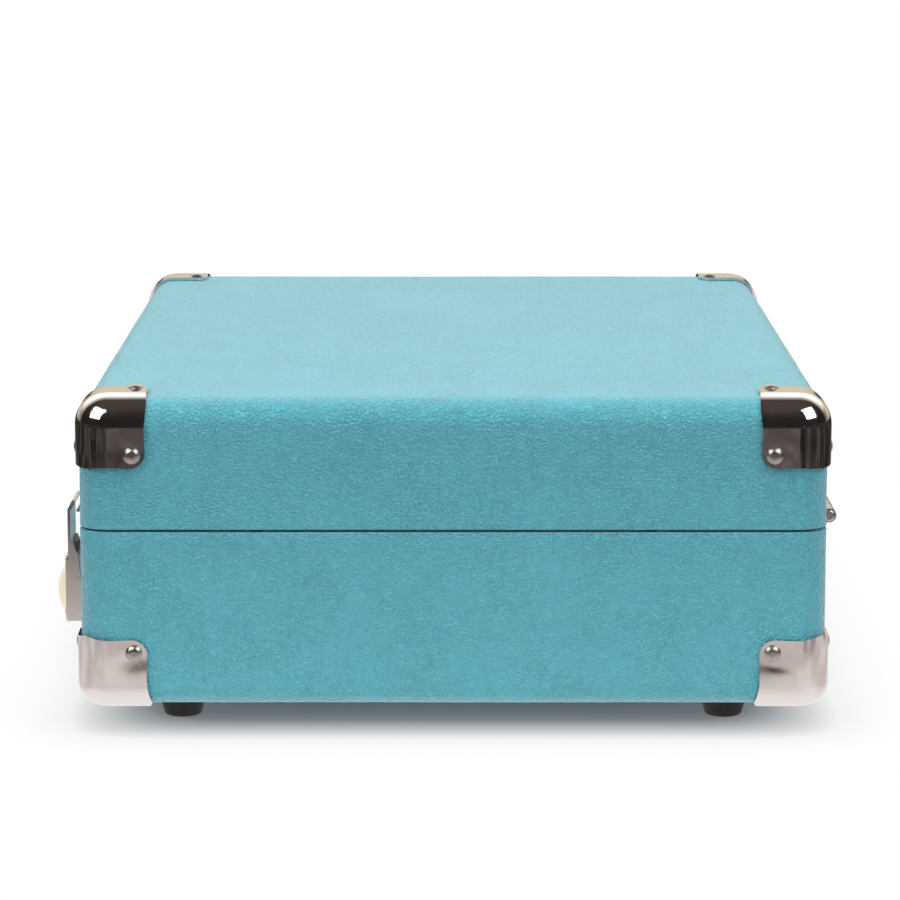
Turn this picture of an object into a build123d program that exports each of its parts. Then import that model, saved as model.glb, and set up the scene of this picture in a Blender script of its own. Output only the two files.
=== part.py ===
"""Portable suitcase record player: a vinyl-covered wooden carrying case with a hinged lid,
two draw latches, a carrying handle, metal corner guards and rubber feet, holding a
belt-driven platter, a tonearm, two loudspeakers and an amplifier.

Millimetres. +Z up, front (handle and latches) faces -Y, hinges at +Y.
Origin: on the table plane, under the centre of the wooden case.
"""
import math
import os

from build123d import *

os.makedirs("parts", exist_ok=True)

# ---------------------------------------------------------------- driving sizes
CASE_LENGTH = 356.0     # along X
CASE_WIDTH = 267.0      # along Y
CASE_HEIGHT = 111.0
FOOT_HEIGHT = 11.0
CASE_BOTTOM = FOOT_HEIGHT
CASE_TOP = FOOT_HEIGHT + CASE_HEIGHT
RIGHT = CASE_LENGTH / 2
FRONT = -CASE_WIDTH / 2
BACK = CASE_WIDTH / 2
UPRIGHT_R, TOP_R, BOTTOM_R = 11.0, 10.0, 7.0    # rounding of the case edges

SEAM_Z = 74.8           # height of the joint between base and lid
SEAM_GAP = 0.8
BASE_RIM = SEAM_Z - SEAM_GAP / 2
LID_RIM = SEAM_Z + SEAM_GAP / 2
RIM_WRAP = 0.6          # wrap thickness over each rim
RIM_FILLET = 0.55

WRAP = 0.8              # leatherette thickness
WALL, FLOOR = 7.0, 5.0  # wood thickness of the sides, and of the floor and lid top
INNER_X = RIGHT - WRAP - WALL
INNER_Y = BACK - WRAP - WALL
FLOOR_TOP = CASE_BOTTOM + WRAP + FLOOR
CEILING = CASE_TOP - WRAP - FLOOR
BELOW_ALL, ABOVE_ALL = -10, 200     # heights safely clear of the case

FITTING_T = 1.0         # sheet thickness of latches, brackets and hinges
FITTING_Y = FRONT - FITTING_T       # outer face of the front fittings

DECK_TOP, DECK_T = 65.0, 3.0
DECK_UNDER = DECK_TOP - DECK_T
PLATTER_X, PLATTER_Y = -60.0, 18.0
PLATTER_R = 95.0
WELL_R, WELL_FLOOR = 99.0, 56.0
ARM_X, ARM_Y, ARM_Z = 100.0, 82.0, 85.0     # tonearm pivot
ARM_LENGTH = 188.0                          # pivot to stylus
SPEAKERS = [(-135.0, -95.0, 0), (140.0, -95.0, 0)]


# ---------------------------------------------------------------- shared helpers
def save(shape, name):
    shape.label = name
    export_step(shape, "parts/" + name + ".step")


def save_copies(part, name, places):
    """Save one piece made of a copy of the part at every place, and return it."""
    with BuildPart() as group:
        with Locations(*places):
            add(part)
    save(group.part, name)
    return group.part


def both_sides(x):
    return [(-x, 0, 0), (x, 0, 0)]


def turned(profile):
    """Closed outline given as (radius, z), revolved about Z."""
    with BuildPart() as body:
        with BuildSketch(Plane.XZ):
            with BuildLine():
                Polyline(*profile, profile[0])
            make_face()
        revolve(axis=Axis.Z)
    return body.part


def nail(head_r, dome, shank_r, shank_length):
    """Domed nail, underside of the head at z=0."""
    with BuildPart() as body:
        with BuildSketch(Plane.XZ):
            with BuildLine():
                ThreePointArc((head_r, 0), (head_r * 0.76, dome * 0.62), (0.3, dome))
                Polyline(
                    (0.3, dome), (0, dome), (0, -shank_length), (shank_r * 0.3, -shank_length),
                    (shank_r, -shank_length + 1.2), (shank_r, 0), (head_r, 0),
                )
            make_face()
        revolve(axis=Axis.Z)
    return body.part


def side_profile(points, x_low, width):
    """Closed outline given as (y, z), extruded along +X from x_low."""
    with BuildPart() as body:
        with BuildSketch(Plane.YZ.offset(x_low)):
            with BuildLine():
                Polyline(*points, points[0])
            make_face()
        extrude(amount=width)
    return body.part


def x_disc(radius, x_low, width, y, z):
    """Disc or rod along +X from x_low, its axis at (y, z)."""
    with BuildPart() as body:
        with BuildSketch(Plane.YZ.offset(x_low)):
            with Locations((y, z)):
                Circle(radius)
        extrude(amount=width)
    return body.part


def front_plane(z, y=FRONT):
    """Plane facing forwards, centred on x=0."""
    return Plane(origin=(0, y, z), x_dir=(1, 0, 0), z_dir=(0, -1, 0))


# ---------------------------------------------------------------- case blocks
def case_block(grow):
    """The whole closed case as one rounded block, grown by a constant on every face."""
    with BuildPart() as block:
        with Locations((0, 0, CASE_BOTTOM + CASE_HEIGHT / 2)):
            Box(CASE_LENGTH + 2 * grow, CASE_WIDTH + 2 * grow, CASE_HEIGHT + 2 * grow)
        fillet(block.edges().filter_by(Axis.Z), UPRIGHT_R + grow)
        fillet(block.faces().sort_by(Axis.Z)[-1].edges(), TOP_R + grow)
        fillet(block.faces().sort_by(Axis.Z)[0].edges(), BOTTOM_R + grow)
    return block.part


def slab(z_low, z_high):
    """Block wider than the case between two heights."""
    with BuildPart() as block:
        with Locations((0, 0, (z_low + z_high) / 2)):
            Box(500.0, 400.0, z_high - z_low)
    return block.part


def cavity(z_low, z_high, inset=0.0, corner_r=4.0):
    """Straight-sided inner space of the case."""
    with BuildPart() as space:
        with BuildSketch(Plane.XY.offset(z_low)):
            RectangleRounded(2 * (INNER_X - inset), 2 * (INNER_Y - inset), corner_r)
        extrude(amount=z_high - z_low)
    return space.part


wrapped_block = case_block(0.0)
wood_block = case_block(-WRAP)


# ---------------------------------------------------------------- base and lid: wood and wrap
JACK_X, JACK_Z = 60.0, 36.0             # centre of the opening in the back wall
JACK_LENGTH, JACK_HEIGHT = 66.0, 20.0   # opening along X and Z


def wood_half(waste, hollow):
    with BuildPart() as wood:
        add(wood_block)
        add(waste, mode=Mode.SUBTRACT)
        add(hollow, mode=Mode.SUBTRACT)
    return wood.part


def wrap_half(waste, core_waste, hollow, rim):
    """Leatherette skin; rim is the index, by height, of the face at the seam."""
    with BuildPart() as wrap:
        add(wrapped_block)
        add(waste, mode=Mode.SUBTRACT)
        fillet(wrap.faces().sort_by(Axis.Z)[rim].edges(), RIM_FILLET)
        with BuildPart(mode=Mode.PRIVATE) as core:
            add(wood_block)
            add(core_waste, mode=Mode.SUBTRACT)
        add(core.part, mode=Mode.SUBTRACT)
        add(hollow, mode=Mode.SUBTRACT)
    return wrap.part


def with_jack_opening(part):
    with BuildPart() as opened:
        add(part)
        with Locations((JACK_X, BACK - 4, JACK_Z)):
            Box(JACK_LENGTH, 12, JACK_HEIGHT, mode=Mode.SUBTRACT)
    return opened.part


base_core_waste = slab(BASE_RIM - RIM_WRAP, ABOVE_ALL)
base_hollow = cavity(FLOOR_TOP, ABOVE_ALL)
save(with_jack_opening(wood_half(base_core_waste, base_hollow)), "base_box")
base_wrap = wrap_half(slab(BASE_RIM, ABOVE_ALL), base_core_waste, base_hollow, rim=-1)
save(with_jack_opening(base_wrap), "base_wrap")

lid_core_waste = slab(BELOW_ALL, LID_RIM + RIM_WRAP)
lid_hollow = cavity(0, CEILING)
save(wood_half(lid_core_waste, lid_hollow), "lid_box")
save(wrap_half(slab(BELOW_ALL, LID_RIM), lid_core_waste, lid_hollow, rim=0), "lid_wrap")

LINER_T = 1.4
with BuildPart() as lid_liner:
    add(cavity(LID_RIM + 1.5, CEILING, 0.05, 3.95))
    add(cavity(0, CEILING - LINER_T, LINER_T, 3.0), mode=Mode.SUBTRACT)
save(lid_liner.part, "lid_liner")

# ---------------------------------------------------------------- corner guards
GUARD_T = 1.2           # sheet thickness
GUARD_REACH = 24.5      # flange reach from the case corner
GUARD_FREE_R = 5.5      # rounding of the free corner of a flange
GUARD_CLEARANCE = 0.03  # gap to the case surface
NAIL_INSET = 19.8       # nail centre from the case corner


def flange_profile(flare):
    """Flange outline from the case corner at the origin: straight edges, rounded free
    corner, slight flare at the case edges."""
    reach, radius = GUARD_REACH, GUARD_FREE_R
    tip = reach + flare
    near = reach + 0.3 * flare
    straight = reach - radius
    arc_mid = reach - radius * (1 - math.cos(math.radians(45)))
    with BuildSketch() as outline:
        with BuildLine():
            Polyline((-4, tip), (-4, -4), (tip, -4), (tip, 0.3))
            Spline(
                (tip, 0.3), (near, 4.0), (reach - 0.25, 10.0), (reach, straight),
                tangents=[(-0.6, 1), (0, 1)],
            )
            ThreePointArc((reach, straight), (arc_mid, arc_mid), (straight, reach))
            Spline(
                (straight, reach), (10.0, reach - 0.25), (4.0, near), (0.3, tip),
                tangents=[(-1, 0), (-1, 0.6)],
            )
            Line((0.3, tip), (-4, tip))
        make_face()
    return outline.sketch


def height_and_sign(top):
    return (CASE_TOP, 1) if top else (CASE_BOTTOM, -1)


def nail_planes(side_x, side_y, top, lift):
    """Outward planes at the nails of one corner, one per flange, lifted off the case."""
    z, side_z = height_and_sign(top)
    x_in, y_in = side_x * (RIGHT - NAIL_INSET), side_y * (BACK - NAIL_INSET)
    z_in = z - side_z * NAIL_INSET
    return [
        Plane(origin=(x_in, y_in, z + side_z * lift), z_dir=(0, 0, side_z)),
        Plane(origin=(x_in, side_y * (BACK + lift), z_in), z_dir=(0, side_y, 0)),
        Plane(origin=(side_x * (RIGHT + lift), y_in, z_in), z_dir=(side_x, 0, 0)),
    ]


def corner_guard(top):
    """Pressed sheet corner at +X +Y, top or bottom of the case."""
    z, side_z = height_and_sign(top)
    outline = flange_profile(0.9 if top else 2.0)
    # outline seen along Z, Y and X; each plane is turned so that it opens into the case
    views = (
        (Plane(origin=(RIGHT, BACK, z - 50), x_dir=(-1, 0, 0), z_dir=(0, 0, 1)), False),
        (Plane(origin=(RIGHT, BACK - 50, z), x_dir=(-1, 0, 0), z_dir=(0, -side_z, 0)), True),
        (Plane(origin=(RIGHT - 50, BACK, z), x_dir=(0, -1, 0), z_dir=(side_z, 0, 0)), True),
    )
    with BuildPart() as guard:
        add(case_block(GUARD_T))
        add(case_block(GUARD_CLEARANCE), mode=Mode.SUBTRACT)
        for view, both_ways in views:
            with BuildPart(mode=Mode.PRIVATE) as prism:
                with BuildSketch(view):
                    add(outline)
                extrude(amount=100, both=both_ways)
            add(prism.part, mode=Mode.INTERSECT)
        with Locations(*[plane.location for plane in nail_planes(1, 1, top, 0)]):
            Cylinder(1.0, 12, mode=Mode.SUBTRACT)
    return guard.part


def four_ways(part):
    """The part and its mirror images at the other three corners."""
    mirrored = mirror(part, about=Plane.YZ)
    return [
        part, mirrored, mirror(part, about=Plane.XZ), mirror(mirrored, about=Plane.XZ),
    ]


corner_nail = nail(head_r=3.05, dome=1.35, shank_r=0.9, shank_length=7.0)
for half, top in (("lid", True), ("base", False)):
    guards = [solid for part in four_ways(corner_guard(top)) for solid in part.solids()]
    save(Compound(children=guards), half + "_corner_guards")
    nail_places = [
        plane.location
        for side_x in (-1, 1)
        for side_y in (-1, 1)
        for plane in nail_planes(side_x, side_y, top, GUARD_T)
    ]
    save_copies(corner_nail, half + "_corner_nails", nail_places)

# ---------------------------------------------------------------- feet
FOOT_PLACES = [(sx * 143.0, sy * 99.0, 0) for sx in (-1, 1) for sy in (-1, 1)]
FOOT_BORE_R = 2.2
FOOT_RECESS_R, FOOT_RECESS_Z = 4.4, 4.2     # screw head recess

with BuildPart() as one_foot:
    with BuildSketch(Plane.XZ):
        with BuildLine():
            Polyline((FOOT_BORE_R, FOOT_HEIGHT), (9.9, FOOT_HEIGHT), (6.9, 1.0))
            ThreePointArc((6.9, 1.0), (6.5, 0.3), (5.8, 0))
            Polyline(
                (5.8, 0), (FOOT_RECESS_R, 0), (FOOT_RECESS_R, FOOT_RECESS_Z),
                (FOOT_BORE_R, FOOT_RECESS_Z), (FOOT_BORE_R, FOOT_HEIGHT),
            )
        make_face()
    revolve(axis=Axis.Z)
save_copies(one_foot.part, "rubber_feet", FOOT_PLACES)

with BuildPart() as foot_screw:
    add(turned([
        (0, 2.0), (2.6, 2.0), (3.6, 3.0), (3.6, FOOT_RECESS_Z), (1.7, FOOT_RECESS_Z),
        (1.7, 13.0), (0, 15.5),
    ]))
    # cross slot
    with Locations((0, 0, 2.0)):
        Box(4.6, 0.9, 2.0, mode=Mode.SUBTRACT)
        Box(0.9, 4.6, 2.0, mode=Mode.SUBTRACT)
save_copies(foot_screw.part, "foot_screws", FOOT_PLACES)

# ---------------------------------------------------------------- deck
CLEAT_T, CLEAT_HEIGHT = 4.5, 12
CLEAT_Z = DECK_UNDER - CLEAT_HEIGHT / 2
with BuildPart() as deck_cleats:
    for side in (-1, 1):
        with Locations((side * (INNER_X - CLEAT_T / 2), 0, CLEAT_Z)):
            Box(CLEAT_T, 200, CLEAT_HEIGHT)
    for side in (-1, 1):
        with Locations((60, side * (INNER_Y - CLEAT_T / 2), CLEAT_Z)):
            Box(150, CLEAT_T, CLEAT_HEIGHT)
save(deck_cleats.part, "deck_cleats")

DECK_SCREWS = [(side * 163.0, y) for side in (-1, 1) for y in (-62.0, 92.0)]
PULLEY_DEGREES = -60            # direction from the platter centre to the pulley
PULLEY_ANGLE = math.radians(PULLEY_DEGREES)
PULLEY_DISTANCE = 84.0
MOTOR_X = PLATTER_X + PULLEY_DISTANCE * math.cos(PULLEY_ANGLE)
MOTOR_Y = PLATTER_Y + PULLEY_DISTANCE * math.sin(PULLEY_ANGLE)
VOLUME_X, VOLUME_Y = 146.0, -36.0
SPEED_X, SPEED_Y = 146.0, 22.0

DECK_CLEARANCE = 0.6            # deck edge to the case wall
BORDER_INSET, BORDER_HEIGHT = DECK_CLEARANCE + 3.0, 1.6
DECK_SIZE = (2 * (INNER_X - DECK_CLEARANCE), 2 * (INNER_Y - DECK_CLEARANCE))
WELL_WALL = 2.0
HOLE_PITCH = 5.6                # speaker holes, on a triangular grid
HOLE_FIELD_R = 19.5


def grille_holes(centre_x, centre_y):
    points = []
    for i in range(-5, 6):
        for j in range(-5, 6):
            x, y = HOLE_PITCH * (i + 0.5 * j), HOLE_PITCH * 0.866 * j
            if math.hypot(x, y) < HOLE_FIELD_R:
                points.append((centre_x + x, centre_y + y, DECK_TOP - 2))
    return points


with BuildPart() as deck_plate:
    with BuildSketch(Plane.XY.offset(DECK_UNDER)):
        RectangleRounded(*DECK_SIZE, 3.6)
    extrude(amount=DECK_T)
    # raised border
    with BuildSketch(Plane.XY.offset(DECK_TOP)):
        RectangleRounded(*DECK_SIZE, 3.6)
        RectangleRounded(
            2 * (INNER_X - BORDER_INSET), 2 * (INNER_Y - BORDER_INSET), 2.0, mode=Mode.SUBTRACT
        )
    extrude(amount=BORDER_HEIGHT)
    # platter well
    with Locations((PLATTER_X, PLATTER_Y, (WELL_FLOOR - WELL_WALL + DECK_TOP) / 2)):
        Cylinder(WELL_R + WELL_WALL, DECK_TOP - WELL_FLOOR + WELL_WALL)
    with Locations((PLATTER_X, PLATTER_Y, (WELL_FLOOR + 80) / 2)):
        Cylinder(WELL_R, 80 - WELL_FLOOR, mode=Mode.SUBTRACT)
    # bearing and motor shaft holes
    with Locations((PLATTER_X, PLATTER_Y, WELL_FLOOR)):
        Cylinder(7.0, 8, mode=Mode.SUBTRACT)
    with Locations((MOTOR_X, MOTOR_Y, WELL_FLOOR)):
        Cylinder(3.2, 8, mode=Mode.SUBTRACT)
    # shallow round recess over each speaker, then the round holes
    for speaker_x, speaker_y, _ in SPEAKERS:
        with Locations((speaker_x, speaker_y, DECK_TOP)):
            Cylinder(23.0, 1.2, mode=Mode.SUBTRACT)
        with Locations(*grille_holes(speaker_x, speaker_y)):
            Cylinder(1.5, 8, mode=Mode.SUBTRACT)
    # volume and tonearm holes, speed switch hole, screw holes
    for radius, places in (
        (3.6, [(VOLUME_X, VOLUME_Y), (ARM_X, ARM_Y)]),
        (3.2, [(SPEED_X, SPEED_Y)]),
        (1.7, DECK_SCREWS),
    ):
        with Locations(*[(x, y, DECK_TOP) for x, y in places]):
            Cylinder(radius, 12, mode=Mode.SUBTRACT)
save(deck_plate.part, "deck_plate")

deck_screw = nail(head_r=2.9, dome=1.5, shank_r=1.45, shank_length=9.0)
with BuildPart() as deck_screws:
    with Locations(*[(x, y, DECK_TOP) for x, y in DECK_SCREWS]):
        add(deck_screw)
    # cross slots
    with Locations(*[(x, y, DECK_TOP + 1.2) for x, y in DECK_SCREWS]):
        Box(3.6, 0.8, 1.4, mode=Mode.SUBTRACT)
        Box(0.8, 3.6, 1.4, mode=Mode.SUBTRACT)
save(deck_screws.part, "deck_screws")

# ---------------------------------------------------------------- platter and spindle
# turned pieces are built on the Z axis and moved to the platter centre
DISC_UNDER, DISC_TOP, MAT_TOP = 66.6, 70.0, 72.5
RING_R, RING_T = 74.0, 3        # drive ring under the disc
SKIRT_R = PLATTER_R - 2.5       # inside of the outer skirt
RING_BOTTOM = WELL_FLOOR + 1.6
HUB_R, HUB_BOTTOM = 9.0, WELL_FLOOR + 3.2
SPINDLE_R = 3.0
PLATTER_PLACE = Location((PLATTER_X, PLATTER_Y, 0))

with BuildPart() as platter:
    add(turned([
        (SPINDLE_R, DISC_TOP), (PLATTER_R - 2.0, DISC_TOP), (PLATTER_R, DISC_TOP - 1.0),
        (PLATTER_R, DISC_UNDER - 3.0), (SKIRT_R, DISC_UNDER - 3.0), (SKIRT_R, DISC_UNDER),
        (RING_R, DISC_UNDER), (RING_R, RING_BOTTOM), (RING_R - RING_T, RING_BOTTOM),
        (RING_R - RING_T, DISC_UNDER), (HUB_R, DISC_UNDER), (HUB_R, HUB_BOTTOM),
        (SPINDLE_R, HUB_BOTTOM),
    ]))
    # ribs under the disc, between the hub and the drive ring
    with PolarLocations(40, 6):
        with Locations((0, 0, DISC_UNDER - 1.2)):
            Box(61, 2.0, 2.6)
save(platter.part.moved(PLATTER_PLACE), "platter")

MAT_R = PLATTER_R - 3.0
with BuildPart() as platter_mat:
    add(turned([
        (3.2, DISC_TOP), (MAT_R, DISC_TOP), (MAT_R, MAT_TOP - 0.5), (MAT_R - 0.5, MAT_TOP),
        (52.0, MAT_TOP), (51.5, MAT_TOP - 0.6), (49.5, MAT_TOP - 0.6), (49.0, MAT_TOP),
        (3.2, MAT_TOP),
    ]))
    # concentric grooves
    for k in range(12):
        groove_r = 55.0 + k * 3.0
        with BuildSketch(Plane.XY.offset(MAT_TOP)):
            Circle(groove_r + 0.7)
            Circle(groove_r, mode=Mode.SUBTRACT)
        extrude(amount=-0.4, mode=Mode.SUBTRACT)
save(platter_mat.part.moved(PLATTER_PLACE), "platter_mat")

with BuildPart() as spindle:
    with BuildSketch(Plane.XZ):
        with BuildLine():
            Polyline(
                (0, 41.0), (2.0, 41.0), (SPINDLE_R, 42.0), (SPINDLE_R, MAT_TOP),
                (3.55, MAT_TOP), (3.55, 81.5),
            )
            ThreePointArc((3.55, 81.5), (2.5, 83.2), (0.4, 84.0))
            Polyline((0.4, 84.0), (0, 84.0), (0, 41.0))
        make_face()
    revolve(axis=Axis.Z)
save(spindle.part.moved(PLATTER_PLACE), "spindle")

BEARING_R = 6.9
spindle_bearing = turned([
    (0, 38.6), (BEARING_R, 38.6), (BEARING_R, WELL_FLOOR - 3.6), (14, WELL_FLOOR - 3.6),
    (14, WELL_FLOOR - WELL_WALL), (BEARING_R, WELL_FLOOR - WELL_WALL),
    (BEARING_R, WELL_FLOOR + 1.0), (3.05, WELL_FLOOR + 1.0), (3.05, 40.8), (0, 40.8),
])
save(spindle_bearing.moved(PLATTER_PLACE), "spindle_bearing")

# ---------------------------------------------------------------- motor, pulley and belt
PULLEY_R = 5.0
PULLEY_RIM_R = PULLEY_R + 1.2
BELT_T, BELT_BOTTOM, BELT_TOP = 0.8, 58.8, 63.0
BELT_CLEARANCE = 0.04

with BuildPart() as motor_pulley:
    add(turned([
        (1.0, 57.8), (PULLEY_RIM_R, 57.8), (PULLEY_RIM_R, 58.4), (PULLEY_R, 58.6),
        (PULLEY_R, 63.4), (PULLEY_RIM_R, 63.6), (PULLEY_RIM_R, 64.2), (1.0, 64.2),
    ]))
    # notch in the top rim
    with Locations((PULLEY_R + 0.9, 0, 64.2)):
        Box(1.4, 2.0, 0.5, mode=Mode.SUBTRACT)
    # shaft, and the sleeve that joins it to the pulley
    with Locations((0, 0, 48.0)):
        Cylinder(0.95, 32.4)
    with Locations((0, 0, 61.0)):
        Cylinder(1.2, 6.4)
save(motor_pulley.part.moved(Location((MOTOR_X, MOTOR_Y, 0))), "motor_pulley")

CAN_BOTTOM, CAN_HEIGHT = 30, 21.0
CAN_TOP = CAN_BOTTOM + CAN_HEIGHT
FLANGE_T = 1.4
with BuildPart() as drive_motor:
    with BuildSketch(Plane.XY.offset(CAN_BOTTOM)):
        Circle(16.0)
    extrude(amount=CAN_HEIGHT)
    fillet(drive_motor.edges().filter_by(GeomType.CIRCLE).sort_by(Axis.Z)[0], 2.0)
    # mounting flange, then the collar round the shaft
    with BuildSketch(Plane.XY.offset(CAN_TOP)):
        SlotCenterToCenter(40.0, 10.0)
        Circle(11.0)
    extrude(amount=FLANGE_T)
    with BuildSketch(Plane.XY.offset(CAN_TOP + FLANGE_T)):
        Circle(3.0)
    extrude(amount=2.2)
    with Locations((-20, 0, 51.7), (20, 0, 51.7)):
        Cylinder(1.6, 4, mode=Mode.SUBTRACT)
    # shaft bore, closed again by the boss under the can
    with Locations((0, 0, 42)):
        Cylinder(1.0, 40, mode=Mode.SUBTRACT)
    with Locations((0, 0, 28.8)):
        Cylinder(4.0, 2.4)
save(drive_motor.part.moved(Location((MOTOR_X, MOTOR_Y, 0), (0, 0, 1), 30)), "drive_motor")


def tangent_loop(large_r, small_r, distance):
    """Closed outline of a belt round two circles, at the origin and along +X."""
    angle = math.acos((large_r - small_r) / distance)
    large_x, large_y = large_r * math.cos(angle), large_r * math.sin(angle)
    small_x, small_y = distance + small_r * math.cos(angle), small_r * math.sin(angle)
    with BuildLine() as loop:
        Line((large_x, large_y), (small_x, small_y))
        ThreePointArc((small_x, small_y), (distance + small_r, 0), (small_x, -small_y))
        Line((small_x, -small_y), (large_x, -large_y))
        ThreePointArc((large_x, -large_y), (-large_r, 0), (large_x, large_y))
    return loop.line


belt_ring_r, belt_pulley_r = RING_R + BELT_CLEARANCE, PULLEY_R + BELT_CLEARANCE
with BuildPart() as drive_belt:
    with BuildSketch(Plane.XY.offset(BELT_BOTTOM)):
        with BuildLine():
            add(tangent_loop(belt_ring_r + BELT_T, belt_pulley_r + BELT_T, PULLEY_DISTANCE))
        make_face()
        with BuildLine():
            add(tangent_loop(belt_ring_r, belt_pulley_r, PULLEY_DISTANCE))
        make_face(mode=Mode.SUBTRACT)
    extrude(amount=BELT_TOP - BELT_BOTTOM)
belt_place = Location((PLATTER_X, PLATTER_Y, 0), (0, 0, 1), PULLEY_DEGREES)
save(drive_belt.part.moved(belt_place), "drive_belt")

# ---------------------------------------------------------------- loudspeakers under the deck
# frame outline as (radius, z): flange, basket, magnet
FRAME_OUTLINE = [
    (22.0, DECK_UNDER), (25.0, DECK_UNDER), (25.0, 60.8), (23.2, 60.8), (13.0, 50.0),
    (13.0, 46.0), (16.0, 46.0), (16.0, 36.0), (0, 36.0), (0, 46.0), (8.0, 46.0),
    (8.0, 50.2), (12.0, 50.2), (22.0, 60.8),
]
save_copies(turned(FRAME_OUTLINE), "speaker_frames", SPEAKERS)

with BuildPart() as speaker_cone:
    with BuildSketch(Plane.XZ):
        with BuildLine():
            # upper surface, centre dome, then the underside
            Polyline((21.8, 61.4), (21.0, 61.9), (19.0, 61.9), (18.0, 61.0), (7.0, 52.4))
            ThreePointArc((7.0, 52.4), (4.0, 55.0), (0.4, 56.0))
            Polyline(
                (0.4, 56.0), (0, 56.0), (0, 55.4), (3.0, 54.6), (5.6, 52.6), (5.6, 47.0),
                (6.4, 47.0), (6.4, 51.6), (18.4, 60.2), (21.8, 60.8), (21.8, 61.4),
            )
        make_face()
    revolve(axis=Axis.Z)
save_copies(speaker_cone.part, "speaker_cones", SPEAKERS)

# ---------------------------------------------------------------- amplifier
BOARD_X, BOARD_Y = 70, 66
STANDOFF_HEIGHT, BOARD_T = 6.0, 1.6
BOARD_TOP = FLOOR_TOP + STANDOFF_HEIGHT + BOARD_T
with BuildPart() as amplifier_board:
    with Locations((BOARD_X, BOARD_Y, BOARD_TOP - BOARD_T / 2)):
        Box(120, 66, BOARD_T)
    with Locations(*[
        (BOARD_X + sx * 54, BOARD_Y + sy * 27, FLOOR_TOP + STANDOFF_HEIGHT / 2)
        for sx in (-1, 1) for sy in (-1, 1)
    ]):
        Cylinder(3.0, STANDOFF_HEIGHT)
save(amplifier_board.part, "amplifier_board")

# upright cylinders on the board: x, y, radius, height
BOARD_CANS = [(46, 60, 4.0, 8), (64, 60, 4.0, 8), (30, 78, 5.0, 10)]
# boxes on the board: x, y, then size along X, Y, Z
BOARD_BOXES = [
    (86, 58, 14, 8, 2), (106, 70, 10, 10, 2), (112, 48, 20, 6, 12), (20, 58, 8, 14, 6),
]
with BuildPart() as board_components:
    for x, y, radius, height in BOARD_CANS:
        with Locations((x, y, BOARD_TOP + height / 2)):
            Cylinder(radius, height)
    for x, y, size_x, size_y, size_z in BOARD_BOXES:
        with Locations((x, y, BOARD_TOP + size_z / 2)):
            Box(size_x, size_y, size_z)
    # row of small cylinders lying along Y
    for k in range(5):
        with Locations((30 + 7 * k, 42, BOARD_TOP + 1.2)):
            Cylinder(1.2, 5.0, rotation=(90, 0, 0))
save(board_components.part, "board_components")

# ---------------------------------------------------------------- rear jacks
PANEL_T = 1.6
LINE_OUT_X = [JACK_X - 24, JACK_X - 8]
HEADPHONE_X, POWER_X = JACK_X + 8, JACK_X + 23
panel_plane = Plane(origin=(JACK_X, BACK, JACK_Z), x_dir=(-1, 0, 0), z_dir=(0, 1, 0))
# holes through the panel: radius, then centres as (x, z)
PANEL_HOLES = [
    (4.6, [(x, JACK_Z) for x in LINE_OUT_X]),
    (3.6, [(HEADPHONE_X, JACK_Z)]),
    (4.1, [(POWER_X, JACK_Z)]),
    (0.95, [(JACK_X + sx * 33.6, JACK_Z + sz * 10.6) for sx in (-1, 1) for sz in (-1, 1)]),
]
with BuildPart() as jack_panel:
    with BuildSketch(panel_plane):
        RectangleRounded(JACK_LENGTH + 8, JACK_HEIGHT + 8, 4)
    extrude(amount=PANEL_T)
    # collar inside the wall opening
    with BuildSketch(panel_plane):
        Rectangle(JACK_LENGTH - 0.6, JACK_HEIGHT - 0.6)
        Rectangle(JACK_LENGTH - 4, JACK_HEIGHT - 4, mode=Mode.SUBTRACT)
    extrude(amount=-6)
    for radius, centres in PANEL_HOLES:
        with Locations(*[
            Plane(origin=(x, BACK, z), z_dir=(0, 1, 0)).location for x, z in centres
        ]):
            Cylinder(radius, 8, mode=Mode.SUBTRACT)
save(jack_panel.part, "jack_panel")

# jack outlines as (radius, distance behind the back wall of the case)
LINE_OUT_OUTLINE = [
    (1.6, 9.5), (4.15, 9.5), (4.15, PANEL_T), (4.5, PANEL_T), (4.5, -12), (1.6, -12),
]
HEADPHONE_OUTLINE = [
    (1.8, 2.6), (4.0, 2.6), (4.0, PANEL_T), (3.5, PANEL_T), (3.5, -13.4), (0, -13.4),
    (0, -11.4), (1.8, -11.4),
]
POWER_OUTLINE = [
    (2.8, 2.2), (4.6, 2.2), (4.6, PANEL_T), (4.0, PANEL_T), (4.0, -12), (0, -12),
    (0, -9.5), (2.8, -9.5),
]
POWER_PIN_OUTLINE = [(0, 0.4), (1.0, 0.4), (1.0, -9.6), (0, -9.6)]
JACKS = {
    "line_out_jacks": [(x, LINE_OUT_OUTLINE) for x in LINE_OUT_X],
    "headphone_jack": [(HEADPHONE_X, HEADPHONE_OUTLINE)],
    "power_jack": [(POWER_X, POWER_OUTLINE), (POWER_X, POWER_PIN_OUTLINE)],
}
for name, bodies in JACKS.items():
    with BuildPart() as jack:
        for x, outline in bodies:
            axis = Plane(origin=(x, BACK, JACK_Z), x_dir=(1, 0, 0), z_dir=(0, 1, 0))
            add(turned(outline).moved(axis.location))
    save(jack.part, name)


# ---------------------------------------------------------------- wiring
def wire(points, radius):
    with BuildPart() as body:
        with BuildLine() as path:
            Spline(*points)
        with BuildSketch(Plane(origin=path.line @ 0, z_dir=path.line % 0)):
            Circle(radius)
        sweep()
    return body.part


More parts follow.
